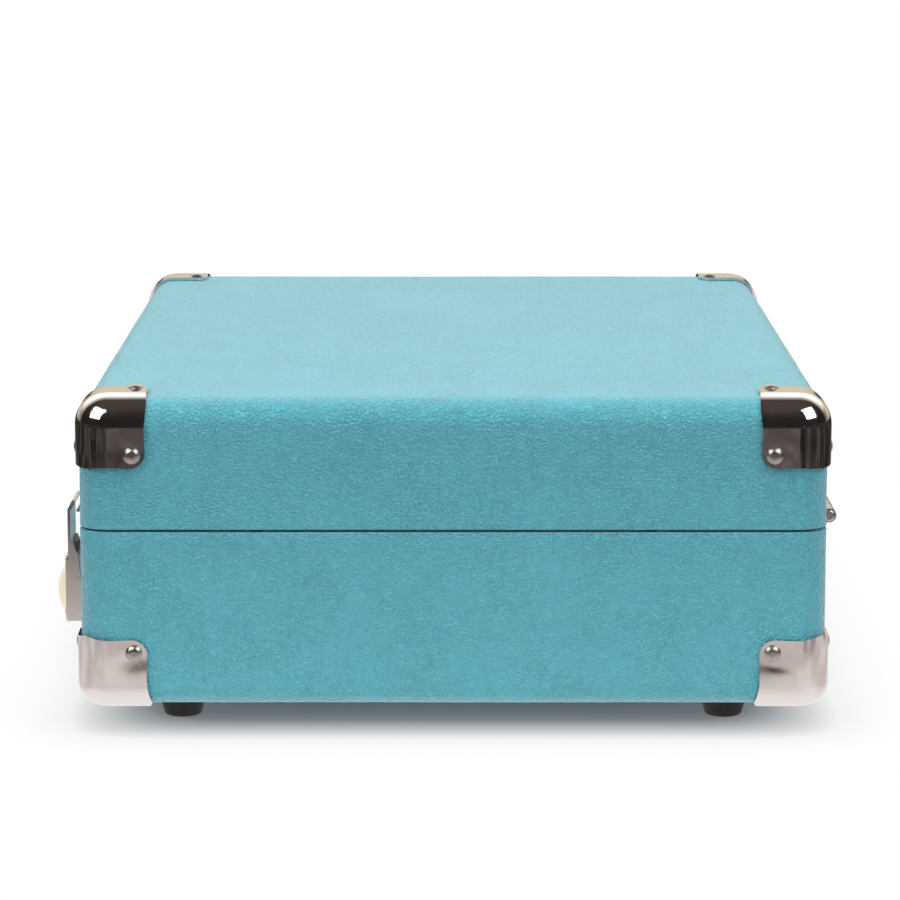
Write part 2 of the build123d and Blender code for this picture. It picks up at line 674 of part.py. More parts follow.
with BuildPart() as wiring:
    for shift in (0, 3):    # each route is a pair of wires
        # left speaker, right speaker, motor
        add(wire([
            (-135 + shift, -72, 43), (-120 + shift, -58, 30), (-60, -30 + shift, 26),
            (0, 10 + shift, 25), (7, 36 + shift, 26.5),
        ], 0.8))
        add(wire([
            (133 + shift, -72, 43), (136 + shift, -50, 32), (140 + shift, -6, 27),
            (137 + shift, 28, 26),
        ], 0.8))
        add(wire([
            (MOTOR_X + 18 + shift, MOTOR_Y + 2, 40), (20, MOTOR_Y + 20 + shift, 30),
            (30 + shift, -4, 27), (34 + shift, 26, 27),
        ], 0.7))
save(wiring.part, "wiring")

# ---------------------------------------------------------------- tonearm, pointing to the front
with BuildPart() as tonearm_base:
    with BuildSketch(Plane.XY.offset(DECK_TOP)):
        with Locations((ARM_X, ARM_Y)):
            Circle(20.0)
    extrude(amount=4.0)
    with Locations((ARM_X, ARM_Y, DECK_TOP + 6)):
        Cylinder(15.0, 4.0)
    chamfer(tonearm_base.edges().filter_by(GeomType.CIRCLE).group_by(Axis.Z)[-1], 0.8)
    # stem through the deck, then the bore for the gimbal post
    with Locations((ARM_X, ARM_Y, DECK_TOP - 4)):
        Cylinder(3.4, 8)
    with Locations((ARM_X, ARM_Y, DECK_TOP)):
        Cylinder(2.55, 30, mode=Mode.SUBTRACT)
save(tonearm_base.part, "tonearm_base")

with BuildPart() as tonearm_gimbal:
    # post, turntable disc and two cheeks
    with Locations((ARM_X, ARM_Y, 67)):
        Cylinder(2.5, 22)
    with Locations((ARM_X, ARM_Y, 74.8)):
        Cylinder(12.5, 3.0)
    with Locations((ARM_X - 9.5, ARM_Y, 82), (ARM_X + 9.5, ARM_Y, 82)):
        Box(2.4, 9, 13)
    fillet(tonearm_gimbal.faces().sort_by(Axis.Z)[-2:].edges().filter_by(Axis.X), 3.0)
    with Locations((ARM_X, ARM_Y, ARM_Z)):
        Cylinder(1.05, 30, rotation=(0, 90, 0), mode=Mode.SUBTRACT)
save(tonearm_gimbal.part, "tonearm_gimbal")

TUBE_R = 3.2
TAIL_R = 2.4            # rod that carries the counterweight
with BuildPart() as tonearm_tube:
    with Locations((ARM_X, ARM_Y - ARM_LENGTH / 2 + 3.25, ARM_Z)):
        Cylinder(TUBE_R, ARM_LENGTH - 14.5, rotation=(90, 0, 0))
    with Locations((ARM_X, ARM_Y + 2, ARM_Z)):
        Box(12.6, 18, 10)
    fillet(tonearm_tube.edges().filter_by(Axis.Y), 1.4)
    with Locations((ARM_X, ARM_Y + 19, ARM_Z)):
        Cylinder(TAIL_R, 22, rotation=(90, 0, 0))
    # trunnion pin
    with Locations((ARM_X, ARM_Y, ARM_Z)):
        Cylinder(1.0, 22.6, rotation=(0, 90, 0))
save(tonearm_tube.part, "tonearm_tube")

with BuildPart() as counterweight:
    with Locations((ARM_X, ARM_Y + 21, ARM_Z)):
        Cylinder(8.0, 13, rotation=(90, 0, 0))
    chamfer(counterweight.edges().filter_by(GeomType.CIRCLE), 0.9)
    with Locations((ARM_X, ARM_Y + 21, ARM_Z)):
        Cylinder(TAIL_R, 16, rotation=(90, 0, 0), mode=Mode.SUBTRACT)
save(counterweight.part, "counterweight")

STYLUS_Y = ARM_Y - ARM_LENGTH
# headshell side view: (distance behind the stylus, z)
HEADSHELL_OUTLINE = [
    (-9, 82.6), (-9, 84.0), (2, 88.6), (20, 89.0), (20, 81.0), (12, 81.0), (12, 82.6), (-9, 82.6),
]
with BuildPart() as headshell:
    with BuildSketch(Plane.YZ.offset(ARM_X - 7.0)):
        with BuildLine():
            Polyline(*[(STYLUS_Y + y, z) for y, z in HEADSHELL_OUTLINE])
        make_face()
    extrude(amount=14)
    fillet(headshell.edges().filter_by(Axis.Z), 2.0)
    # bore for the tube
    with Locations((ARM_X, STYLUS_Y + 16, ARM_Z)):
        Cylinder(TUBE_R, 12, rotation=(90, 0, 0), mode=Mode.SUBTRACT)
    # finger lift
    with Locations((ARM_X + 10.5, STYLUS_Y - 2, 84.0)):
        Box(9, 5, 1.2)
    with Locations((ARM_X + 14.4, STYLUS_Y - 2, 85.2)):
        Box(1.2, 5, 3.4)
save(headshell.part, "headshell")

with BuildPart() as cartridge:
    with Locations((ARM_X, STYLUS_Y + 1, 80.2)):
        Box(9.6, 17, 4.8)
    with Locations((ARM_X, STYLUS_Y + 3, 77.0)):
        Box(6.4, 12, 1.6)
    chamfer(cartridge.edges().filter_by(Axis.X).group_by(Axis.Y)[0], 0.8)
save(cartridge.part, "cartridge")

with BuildPart() as stylus:
    # holder, cantilever and tip
    with Locations((ARM_X, STYLUS_Y - 1.5, 75.8)):
        Box(4.4, 9, 0.8)
    with Locations((ARM_X, STYLUS_Y - 2.2, 75.1)):
        Box(1.0, 9.6, 0.7)
    with Locations((ARM_X, STYLUS_Y, 74.4)):
        Cone(0.15, 0.5, 1.0)
save(stylus.part, "stylus")

# arm rest: a shelf open towards the platter with a stop on the outer side
REST_X, REST_Y = ARM_X, -14.0
# boxes: offset in x, height above the deck, then size along X, Y, Z
REST_BOXES = [
    (0, 1, 18, 12, 2),          # foot
    (0, 8.6, 7, 7, 14),         # post
    (1.5, 15.2, 12, 7, 2.4),    # shelf
    (6.3, 19, 2.4, 7, 7.4),     # stop
]
with BuildPart() as arm_rest:
    for x, z, size_x, size_y, size_z in REST_BOXES:
        with Locations((REST_X + x, REST_Y, DECK_TOP + z)):
            Box(size_x, size_y, size_z)
    fillet(arm_rest.edges().filter_by(Axis.Y).group_by(Axis.Z)[-1], 1.1)
save(arm_rest.part, "arm_rest")

# ---------------------------------------------------------------- volume and speed controls
with BuildPart() as volume_pot:
    # body, bushing, nut and terminal strip
    with Locations((VOLUME_X, VOLUME_Y, 57.0)):
        Cylinder(8.0, 9.9)
    with Locations((VOLUME_X, VOLUME_Y, 64.4)):
        Cylinder(3.5, 5.2)
    with BuildSketch(Plane.XY.offset(DECK_TOP + 0.05)):
        with Locations((VOLUME_X, VOLUME_Y)):
            RegularPolygon(5.4, 6)
    extrude(amount=1.8)
    with Locations((VOLUME_X - 6, VOLUME_Y, 53.0)):
        Box(10, 9, 1.4)
    # shaft bore
    with Locations((VOLUME_X, VOLUME_Y, 63.0)):
        Cylinder(3.05, 14, mode=Mode.SUBTRACT)
save(volume_pot.part, "volume_pot")

with BuildPart() as volume_knob:
    with Locations((VOLUME_X, VOLUME_Y, 73.8)):
        Cylinder(10.6, 12.4)
    chamfer(volume_knob.edges().filter_by(GeomType.CIRCLE).group_by(Axis.Z)[-1], 0.8)
    # finger flutes, a pointer groove and the shaft
    with Locations((VOLUME_X, VOLUME_Y, 74.5)):
        with PolarLocations(10.9, 18):
            Cylinder(0.9, 8.0, mode=Mode.SUBTRACT)
    with Locations((VOLUME_X, VOLUME_Y - 6.5, 80.0)):
        Box(1.2, 7, 1.2, mode=Mode.SUBTRACT)
    with Locations((VOLUME_X, VOLUME_Y, 63.0)):
        Cylinder(3.0, 13.0)
save(volume_knob.part, "volume_knob")

with BuildPart() as speed_switch:
    with Locations((SPEED_X, SPEED_Y, 57.95)):
        Box(18, 12, 8.0)
    with Locations((SPEED_X, SPEED_Y, 63.9)):
        Cylinder(3.1, 4.4)
    with Locations((SPEED_X, SPEED_Y, 64.0)):
        Cylinder(2.05, 14, mode=Mode.SUBTRACT)
save(speed_switch.part, "speed_switch")

with BuildPart() as speed_selector:
    # hub, pointer arm, knob on the arm and shaft
    with Locations((SPEED_X, SPEED_Y, 69.0)):
        Cylinder(8.0, 5.0)
    with BuildSketch(Plane.XY.offset(67.0)):
        with Locations((SPEED_X, SPEED_Y - 10)):
            RectangleRounded(5.0, 18.0, 2.4)
    extrude(amount=3.0)
    with Locations((SPEED_X, SPEED_Y - 16, 71.2)):
        Cylinder(2.0, 3.0)
    with Locations((SPEED_X, SPEED_Y, 63.0)):
        Cylinder(2.0, 11.0)
    chamfer(speed_selector.edges().filter_by(GeomType.CIRCLE).group_by(Axis.Z)[-1], 0.5)
save(speed_selector.part, "speed_selector")

# ---------------------------------------------------------------- draw latches, built at x = 0
LATCH_X = 138.0
LEVER_Y, LEVER_Z = FRONT - 3.6, 58.0    # lever pin
HASP_Z = LEVER_Z - 7.0                  # hasp pin, straight below the lever pin
EAR_T = 1.2                             # thickness of ears and side cheeks

with BuildPart() as latch_plate:
    with BuildSketch(front_plane(47.9)):
        RectangleRounded(20, 28.2, 2)
    extrude(amount=FITTING_T)
    for x in (-6.4, 5.2):
        add(x_disc(2.2, x, EAR_T, LEVER_Y, LEVER_Z))
        add(side_profile([
            (FITTING_Y + 0.2, LEVER_Z - 3.4), (FITTING_Y + 0.2, LEVER_Z + 2.6),
            (LEVER_Y, LEVER_Z + 2.2), (LEVER_Y, LEVER_Z - 2.2),
        ], x, EAR_T))
    add(x_disc(0.95, -10, 20, LEVER_Y, LEVER_Z), mode=Mode.SUBTRACT)
save_copies(latch_plate.part, "latch_plates", both_sides(LATCH_X))

with BuildPart() as latch_strike:
    with BuildSketch(front_plane(84.5)):
        RectangleRounded(20, 15, 1.6)
    extrude(amount=FITTING_T)
    # lip that the hasp hooks over
    add(side_profile([
        (FRONT, 77.4), (FITTING_Y, 77.4), (FRONT - 3.4, 76.4), (FRONT - 3.4, 75.7),
        (FRONT - 2.5, 75.7), (FRONT, 76.6),
    ], -8, 16))
save_copies(latch_strike.part, "latch_strikes", both_sides(LATCH_X))

LEVER_END_Z = 35.2
with BuildPart() as latch_lever:
    with BuildSketch(front_plane(47.0, LEVER_Y - 3.1)):
        RectangleRounded(16, 25, 1.6)
    extrude(amount=FITTING_T)
    fillet(latch_lever.faces().sort_by(Axis.Y)[0].edges(), 0.45)
    for x in (-8.0, 6.8):
        add(x_disc(2.1, x, EAR_T, LEVER_Y, LEVER_Z))
        add(side_profile([
            (LEVER_Y - 3.2, LEVER_END_Z), (LEVER_Y - 3.2, LEVER_Z),
            (LEVER_Y + 2.1, LEVER_Z), (LEVER_Y + 2.1, LEVER_END_Z),
        ], x, EAR_T))
    # lever pin, then a hasp stub on each side
    add(x_disc(0.9, -8, 16, LEVER_Y, LEVER_Z))
    add(x_disc(0.9, -9.9, 3.0, LEVER_Y, HASP_Z))
    add(x_disc(0.9, 6.9, 3.0, LEVER_Y, HASP_Z))
    # raised thumb bead near the free end
    with Locations((0, LEVER_Y - 4.1, 38.2)):
        Cylinder(0.6, 12.0, rotation=(0, 90, 0))

with BuildPart() as latch_hasp:
    for x in (-9.6, 8.4):
        add(x_disc(1.6, x, EAR_T, LEVER_Y, HASP_Z))
        add(side_profile([
            (LEVER_Y - 1.6, HASP_Z), (LEVER_Y + 1.6, HASP_Z), (LEVER_Y + 0.6, 60.0),
            (LEVER_Y - 1.2, 64.5), (LEVER_Y - 2.9, 64.5), (LEVER_Y - 2.9, 60.0),
        ], x, EAR_T))
    # front plate with the hook rolled over the top
    add(side_profile([
        (LEVER_Y - 2.9, 62.6), (LEVER_Y - 1.9, 62.6), (LEVER_Y - 1.9, 76.2),
        (LEVER_Y - 0.1, 79.1), (LEVER_Y - 0.1, 80.2), (LEVER_Y - 1.2, 80.2),
        (LEVER_Y - 2.9, 76.8),
    ], -9.6, 19.2))
    add(x_disc(0.95, -12, 24, LEVER_Y, HASP_Z), mode=Mode.SUBTRACT)

for x, side in ((-LATCH_X, "left"), (LATCH_X, "right")):
    save(latch_lever.part.moved(Location((x, 0, 0))), "latch_lever_" + side)
    save(latch_hasp.part.moved(Location((x, 0, 0))), "latch_hasp_" + side)

# ---------------------------------------------------------------- carrying handle
HANDLE_X, HANDLE_Y, HANDLE_Z = 56.0, FRONT - 6.5, 50.0      # pivots
GRIP_Y, GRIP_Z = HANDLE_Y - 8.8, 28.8                       # grip centre in side view

with BuildPart() as bracket:
    with BuildSketch(front_plane(HANDLE_Z)):
        RectangleRounded(15, 24, 3)
    extrude(amount=FITTING_T)
    for x in (-6.2, 5.0):
        add(x_disc(2.6, x, EAR_T, HANDLE_Y, HANDLE_Z))
        add(side_profile([
            (FITTING_Y + 0.2, HANDLE_Z - 5), (FITTING_Y + 0.2, HANDLE_Z + 5),
            (HANDLE_Y - 0.6, HANDLE_Z + 2.5), (HANDLE_Y - 0.6, HANDLE_Z - 2.5),
        ], x, EAR_T))
    add(x_disc(1.5, -6.6, 13.2, HANDLE_Y, HANDLE_Z))
save_copies(bracket.part, "handle_brackets", both_sides(HANDLE_X))

with BuildPart() as link:
    add(x_disc(3.4, -4, 8, HANDLE_Y, HANDLE_Z))
    add(side_profile([
        (HANDLE_Y - 3.3, HANDLE_Z - 0.6), (HANDLE_Y + 0.6, HANDLE_Z - 3.2),
        (GRIP_Y + 1.6, GRIP_Z + 4), (GRIP_Y - 1.2, GRIP_Z + 4),
    ], -4, 8))
    add(x_disc(1.55, -6, 12, HANDLE_Y, HANDLE_Z), mode=Mode.SUBTRACT)
handle_links = save_copies(link.part, "handle_links", both_sides(HANDLE_X))

GRIP_LENGTH = 126
grip_top = (GRIP_Y + 2.8, GRIP_Z + 12.2)
grip_bottom = (GRIP_Y + 2.8, GRIP_Z - 12.2)
with BuildPart() as handle_grip:
    with BuildSketch(Plane.YZ.offset(-GRIP_LENGTH / 2)):
        with BuildLine():
            ThreePointArc(grip_top, (GRIP_Y - 4.7, GRIP_Z), grip_bottom)
            ThreePointArc(grip_bottom, (GRIP_Y + 4.0, GRIP_Z), grip_top)
        make_face()
    extrude(amount=GRIP_LENGTH)
    grip_ends = handle_grip.faces().sort_by(Axis.X)
    fillet(grip_ends[0].edges() + grip_ends[-1].edges(), 1.6)
    add(handle_links, mode=Mode.SUBTRACT)
save(handle_grip.part, "handle_grip")

# ---------------------------------------------------------------- hinges, built at x = 0
HINGE_X = 133.0
HINGE_Y, HINGE_Z = BACK + 2.9, SEAM_Z
KNUCKLE_R = 2.6
LEAF_LENGTH = 30
UPPER_KNUCKLE = 11.4    # length of the middle knuckle
LEAF_Y = BACK + FITTING_T / 2
pin_bore = x_disc(1.25, -20, 40, HINGE_Y, HINGE_Z)

with BuildPart() as lower_leaf:
    with Locations((0, LEAF_Y, (58 + 74.6) / 2)):
        Box(LEAF_LENGTH, FITTING_T, 16.6)
    fillet(lower_leaf.edges().filter_by(Axis.Y).group_by(Axis.Z)[0], 2.0)
    for x in (-15.0, 6.0):
        add(x_disc(KNUCKLE_R, x, 9.0, HINGE_Y, HINGE_Z))
        add(side_profile([
            (BACK, 71.6), (HINGE_Y - 0.2, HINGE_Z - 2.5), (HINGE_Y - 0.2, HINGE_Z),
            (BACK, HINGE_Z - 0.2),
        ], x, 9.0))
    # room for the middle knuckle
    with Locations((0, BACK + 1.5, HINGE_Z)):
        Box(11.98, 3.2, 5.8, mode=Mode.SUBTRACT)
    add(pin_bore, mode=Mode.SUBTRACT)
save_copies(lower_leaf.part, "hinge_lower_leaves", both_sides(HINGE_X))

with BuildPart() as upper_leaf:
    with Locations((0, LEAF_Y, (78 + 91) / 2)):
        Box(LEAF_LENGTH, FITTING_T, 13)
    fillet(upper_leaf.edges().filter_by(Axis.Y).group_by(Axis.Z)[-1], 2.0)
    with Locations((0, LEAF_Y, 77)):
        Box(UPPER_KNUCKLE, FITTING_T, 4)
    add(x_disc(KNUCKLE_R, -UPPER_KNUCKLE / 2, UPPER_KNUCKLE, HINGE_Y, HINGE_Z))
    add(side_profile([
        (BACK + 0.2, 75.4), (HINGE_Y, HINGE_Z), (HINGE_Y, HINGE_Z + 2.5),
        (BACK + 0.9, 78.0), (BACK + 0.2, 78.0),
    ], -UPPER_KNUCKLE / 2, UPPER_KNUCKLE))
    add(pin_bore, mode=Mode.SUBTRACT)
save_copies(upper_leaf.part, "hinge_upper_leaves", both_sides(HINGE_X))

with BuildPart() as hinge_pin:
    add(x_disc(1.2, -15.2, 30.4, HINGE_Y, HINGE_Z))
    for x in (-16.0, 15.0):
        add(x_disc(2.0, x, 1.0, HINGE_Y, HINGE_Z))
    pin_ends = hinge_pin.faces().sort_by(Axis.X)
    fillet(pin_ends[0].edges() + pin_ends[-1].edges(), 0.5)
save_copies(hinge_pin.part, "hinge_pins", both_sides(HINGE_X))

# ---------------------------------------------------------------- lid bumpers and rivets
with BuildPart() as lid_bumpers:
    with Locations(*[
        (sx * (RIGHT - 4.2), sy * 70, SEAM_Z + 0.025) for sx in (-1, 1) for sy in (-1, 1)
    ]):
        Cylinder(2.8, 0.75)
save(lid_bumpers.part, "lid_bumpers")


def front_rivet(x, z):
    return Plane(origin=(x, FITTING_Y, z), z_dir=(0, -1, 0)).location


def back_rivet(x, z):
    return Plane(origin=(x, BACK + FITTING_T, z), z_dir=(0, 1, 0)).location


rivet = nail(head_r=2.0, dome=0.9, shank_r=0.9, shank_length=6.5)
base_rivets, lid_rivets = [], []
for side in (-1, 1):
    latch_x, handle_x, hinge_x = side * LATCH_X, side * HANDLE_X, side * HINGE_X
    base_rivets += [front_rivet(latch_x + x, 42.0) for x in (-3.2, 3.2)]
    base_rivets += [front_rivet(handle_x, HANDLE_Z + z) for z in (-8.6, 8.6)]
    base_rivets += [back_rivet(hinge_x + x, 64.0) for x in (-10, 0, 10)]
    lid_rivets += [front_rivet(latch_x + x, 87.0) for x in (-5.5, 5.5)]
    lid_rivets += [back_rivet(hinge_x + x, 86.0) for x in (-10, 0, 10)]
save_copies(rivet, "base_rivets", base_rivets)
save_copies(rivet, "lid_rivets", lid_rivets)
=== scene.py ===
"""Portable record player in a closed carrying case, on a white floor.

The case is centred on the origin with +Z up. Its handle is on the -Y side and the camera looks
along -X at the +X end. Meshes are laid out in millimetres; materials, floor, lights and camera
are in metres.
"""

import math

import bmesh
import bpy
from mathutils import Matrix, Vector, noise


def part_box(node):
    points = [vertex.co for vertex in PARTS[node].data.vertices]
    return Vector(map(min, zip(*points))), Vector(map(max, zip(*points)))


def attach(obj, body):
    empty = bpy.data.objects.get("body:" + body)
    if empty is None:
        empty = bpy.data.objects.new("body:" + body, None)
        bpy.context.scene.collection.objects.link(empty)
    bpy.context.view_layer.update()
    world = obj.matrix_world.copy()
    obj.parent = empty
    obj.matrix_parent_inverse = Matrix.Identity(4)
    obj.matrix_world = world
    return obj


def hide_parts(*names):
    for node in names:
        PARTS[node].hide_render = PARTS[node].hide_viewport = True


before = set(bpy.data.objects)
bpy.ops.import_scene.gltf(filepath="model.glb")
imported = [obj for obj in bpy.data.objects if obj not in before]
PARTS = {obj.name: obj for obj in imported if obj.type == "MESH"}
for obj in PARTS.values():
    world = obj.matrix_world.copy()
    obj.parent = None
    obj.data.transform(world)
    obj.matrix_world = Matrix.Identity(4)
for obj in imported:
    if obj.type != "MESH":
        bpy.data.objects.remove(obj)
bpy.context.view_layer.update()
MM = 0.001

# case, in millimetres
HALF_X, HALF_Y = 178.0, 133.5
BOTTOM_Z, TOP_Z = 11.0, 122.0
SEAM_Z, SEAM_GAP = 74.8, 0.8
CORNER_R = 11.0                         # upright corners
TOP_EDGE_R, BOTTOM_EDGE_R = 10.0, 7.0
OPENING_X, OPENING_Z = (27.0, 93.0), (26.0, 46.0)  # jack opening in the base's +Y wall
GRID = 4.5                              # spacing of the leatherette mesh


# ------------------------------------------------------------------ node helpers
class Nodes:
    """Short calls that build one node tree."""

    def __init__(self, tree):
        self.tree = tree

    def put(self, socket, value):
        """Link an output to the socket, or give the socket a number, vector or colour."""
        if isinstance(value, bpy.types.NodeSocket):
            self.tree.links.new(value, socket)
        elif isinstance(value, tuple) and socket.type != "VECTOR":
            socket.default_value = (*value, 1.0)
        else:
            socket.default_value = value

    def node(self, kind, inputs=None, **props):
        node = self.tree.nodes.new(kind)
        for key, value in props.items():
            setattr(node, key, value)
        for key, value in (inputs or {}).items():
            self.put(node.inputs[key], value)
        return node

    def ramp(self, factor, stops):
        """Stops are (position, colour); a plain number is a grey."""
        node = self.node("ShaderNodeValToRGB", {"Fac": factor})
        elements = node.color_ramp.elements
        while len(elements) < len(stops):
            elements.new(0.5)
        for element, (position, color) in zip(elements, stops):
            element.position = position
            element.color = (*color, 1.0) if isinstance(color, tuple) else (color,) * 3 + (1.0,)
        return node.outputs["Color"]

    def remap(self, value, span, to=(0.0, 1.0)):
        """Carry the span, which may run downwards, onto the range given by to, clamped."""
        return self.node("ShaderNodeMapRange", {
            "Value": value, "From Min": span[0], "From Max": span[1],
            "To Min": to[0], "To Max": to[1]}).outputs["Result"]

    def mix_shader(self, factor, first, second):
        return self.node("ShaderNodeMixShader", {0: factor, 1: first, 2: second}).outputs[0]

    def mix(self, factor, first, second):
        node = self.node("ShaderNodeMix", {"Factor": factor, "A": first, "B": second},
                         data_type="RGBA", blend_type="MIX")
        return node.outputs["Result"]

    def math(self, operation, first, second=0.0):
        return self.node("ShaderNodeMath", {0: first, 1: second}, operation=operation).outputs[0]

    def plus(self, first, second):
        return self.math("ADD", first, second)

    def minus(self, first, second):
        return self.math("SUBTRACT", first, second)

    def times(self, first, second):
        return self.math("MULTIPLY", first, second)

    def absolute(self, value):
        return self.math("ABSOLUTE", value)

    def vector_math(self, operation, inputs, out="Vector"):
        return self.node("ShaderNodeVectorMath", inputs, operation=operation).outputs[out]


BSDF_INPUTS = {
    "color": "Base Color", "metal": "Metallic", "rough": "Roughness",
    "spec": "Specular IOR Level", "coat": "Coat Weight", "coat_rough": "Coat Roughness",
    "sheen": "Sheen Weight", "sheen_rough": "Sheen Roughness", "aniso": "Anisotropic",
    "normal": "Normal",
}


class Mat(Nodes):
    """A material in the making; its patterns lie in object space, in metres."""

    def __init__(self, name):
        self.material = bpy.data.materials.new(name)
        self.material.use_nodes = True
        super().__init__(self.material.node_tree)
        self.bsdf = self.tree.nodes["Principled BSDF"]
        self.place = self.node("ShaderNodeTexCoord").outputs["Object"]

    def finish(self, **values):
        for key, value in values.items():
            self.put(self.bsdf.inputs[BSDF_INPUTS[key]], value)
        return self.material

    def stretch(self, factors):
        return self.node("ShaderNodeMapping",
                         {"Vector": self.place, "Scale": factors}).outputs["Vector"]

    def noise(self, scale, detail=4.0, rough=0.55, distortion=0.0, at=None, out="Fac"):
        return self.node("ShaderNodeTexNoise", {
            "Scale": scale, "Detail": detail, "Roughness": rough, "Distortion": distortion,
            "Vector": at or self.place}).outputs[out]

    def warp(self, amount, scale):
        """Coordinates pushed about by noise; amount is in metres."""
        push = self.noise(scale, detail=2.0, rough=0.5, out="Color")
        push = self.vector_math("SUBTRACT", {0: push, 1: (0.5, 0.5, 0.5)})
        push = self.vector_math("SCALE", {0: push, "Scale": amount})
        return self.vector_math("ADD", {0: self.place, 1: push})

    def voronoi(self, scale, feature="F1", at=None, out="Distance"):
        return self.node("ShaderNodeTexVoronoi", {"Scale": scale, "Vector": at or self.place},
                         feature=feature).outputs[out]

    def wave(self, direction, scale, distortion, detail=2.0):
        return self.node("ShaderNodeTexWave", {
            "Scale": scale, "Distortion": distortion, "Detail": detail, "Vector": self.place},
            wave_type="BANDS", bands_direction=direction).outputs["Fac"]

    def bump(self, height, distance, strength, normal=None):
        inputs = {"Distance": distance, "Strength": strength, "Height": height}
        if normal is not None:
            inputs["Normal"] = normal
        return self.node("ShaderNodeBump", inputs).outputs["Normal"]

    def edge_wear(self):
        pointiness = self.node("ShaderNodeNewGeometry").outputs["Pointiness"]
        return self.remap(pointiness, span=(0.52, 0.62))


def srgb(*levels):
    """Linear colour from 0-255 sRGB levels."""
    return tuple(v / 255 / 12.92 if v / 255 <= 0.04045 else ((v / 255 + 0.055) / 1.055) ** 2.4
                 for v in levels)


def shade(color, gain=1.0, lift=0.0):
    return tuple(min(1.0, c * gain + lift) for c in color)


MID = (0.3, 0.7)  # the part of a noise's range that holds nearly all of its values


# ------------------------------------------------------------------ materials
def leatherette(name, base, painted_groove_shade, light, cell, strength, depth, sheen):
    """Pebbled skin; cell is the pebble size in millimetres, depth the relief in metres."""
    mat = Mat(name)
    edge = mat.voronoi(1000 / cell, "DISTANCE_TO_EDGE", at=mat.warp(amount=0.0034, scale=260))
    pebble = mat.remap(edge, span=(0.0, 0.24))
    # painted highlight: pale lines along the pebble edges, patchy by noise
    crease_highlight_mask = mat.times(mat.remap(edge, span=(0.0, 0.11), to=(1.0, 0.0)),
                      mat.remap(mat.noise(scale=190, detail=2.0), span=(0.40, 0.62),
                                to=(0.55, 1.0)))
    wrinkle = mat.noise(scale=430, rough=0.65, distortion=1.8,
                        at=mat.warp(amount=0.007, scale=75))
    fine = mat.noise(scale=2600, detail=3.0, rough=0.6)
    broad = mat.noise(scale=11, detail=3.0, rough=0.5)
    depth_change = mat.remap(mat.noise(scale=45, detail=2.0), MID, to=(0.55, 1.0))

    # relief: pebbles, wrinkles and fine grain, each with its share
    height = mat.plus(mat.times(mat.times(pebble, 0.85), depth_change), mat.times(wrinkle, 0.70))
    height = mat.plus(height, mat.times(fine, 0.10))

    # colour: broad random drift, painted shade darkening the grooves and wrinkle hollows, painted
    # highlight on pale crease lines
    color = mat.mix(mat.remap(broad, MID, to=(0.25, 0.75)), base, light)
    # painted shade: the grooves between the pebbles darkened
    color = mat.mix(mat.times(mat.minus(1.0, pebble), 0.16), color, painted_groove_shade)
    # painted shade: the hollows of the wrinkles darkened
    wrinkle_shade_mask = mat.remap(wrinkle, span=(0.35, 0.65), to=(1.0, 0.0))
    color = mat.mix(mat.times(wrinkle_shade_mask, 0.14), color, painted_groove_shade)
    # painted highlight: the crease lines lightened
    color = mat.mix(mat.times(crease_highlight_mask, 0.24), color, shade(light, gain=1.5, lift=0.07))

    # roughness: 0.38 plus blotches, and more in the grooves
    rough = mat.plus(mat.times(mat.noise(scale=240), 0.10),
                     mat.times(mat.minus(1.0, pebble), 0.08))
    return mat.finish(color=color, rough=mat.plus(0.38, rough), spec=0.55,
                      normal=mat.bump(height, depth, strength), sheen=sheen, sheen_rough=0.26)


def chrome(name, tint, rough, dents):
    """Plated metal with smudges, faint dents and clusters of brown pits."""
    mat = Mat(name)
    smudge = mat.noise(scale=90, detail=5.0, rough=0.6, distortion=0.6)
    smudge_rough = mat.remap(smudge, span=(0.35, 0.75), to=(rough, rough + 0.09))
    hair = mat.noise(scale=1500, detail=2.0, rough=0.5, at=mat.stretch((1.0, 0.3, 1.0)))
    wave = mat.noise(scale=48, detail=1.0, rough=0.3)
    normal = mat.bump(wave, distance=0.0011, strength=dents)
    normal = mat.bump(hair, distance=0.00001, strength=0.1, normal=normal)
    clear = mat.remap(mat.voronoi(scale=420), span=(0.05, 0.10))
    pits = mat.times(mat.minus(1.0, clear),
                     mat.remap(mat.noise(scale=40, detail=2.0), span=(0.55, 0.62), to=(0.0, 0.7)))
    return mat.finish(color=mat.mix(pits, tint, (0.34, 0.27, 0.21)), metal=1.0,
                      rough=mat.plus(smudge_rough, mat.times(pits, 0.25)), normal=normal)


def brushed(name, tint, rough):
    """Metal with its grain along X."""
    mat = Mat(name)
    grain = mat.noise(scale=1600, detail=3.0, rough=0.6, at=mat.stretch((1.0, 0.04, 0.04)))
    return mat.finish(color=mat.mix(mat.remap(grain, MID), shade(tint, gain=0.82), tint),
                      metal=1.0, rough=mat.remap(mat.noise(scale=60), MID, to=(rough, rough + 0.12)),
                      normal=mat.bump(grain, distance=0.00004, strength=0.5))


def plastic(name, tint, rough, grain=900, relief=0.00003, dust=0.04, coat=0.0):
    """Moulded plastic with dusty patches and paler edges."""
    mat = Mat(name)
    texture = mat.noise(scale=grain, rough=0.65)
    dusty = mat.remap(mat.noise(scale=30), span=(0.45, 0.8), to=(0.0, 0.6))
    color = mat.mix(dusty, tint, shade(tint, lift=dust))
    color = mat.mix(mat.times(mat.edge_wear(), 0.35), color, shade(tint, gain=1.4, lift=0.03))
    return mat.finish(color=color, rough=mat.remap(texture, MID, to=(rough - 0.05, rough + 0.08)),
                      normal=mat.bump(texture, relief, strength=0.6), spec=0.5, coat=coat,
                      coat_rough=0.12)


def rubber(name, tint, rough):
    mat = Mat(name)
    texture = mat.noise(scale=1400, rough=0.7)
    dusty = mat.remap(mat.noise(scale=55, detail=5.0, rough=0.6), span=(0.5, 0.8), to=(0.0, 0.5))
    return mat.finish(color=mat.mix(dusty, tint, (0.06, 0.055, 0.055)),
                      rough=mat.remap(texture, MID, to=(rough - 0.08, rough + 0.12)), spec=0.35,
                      normal=mat.bump(texture, distance=0.00006, strength=0.7))


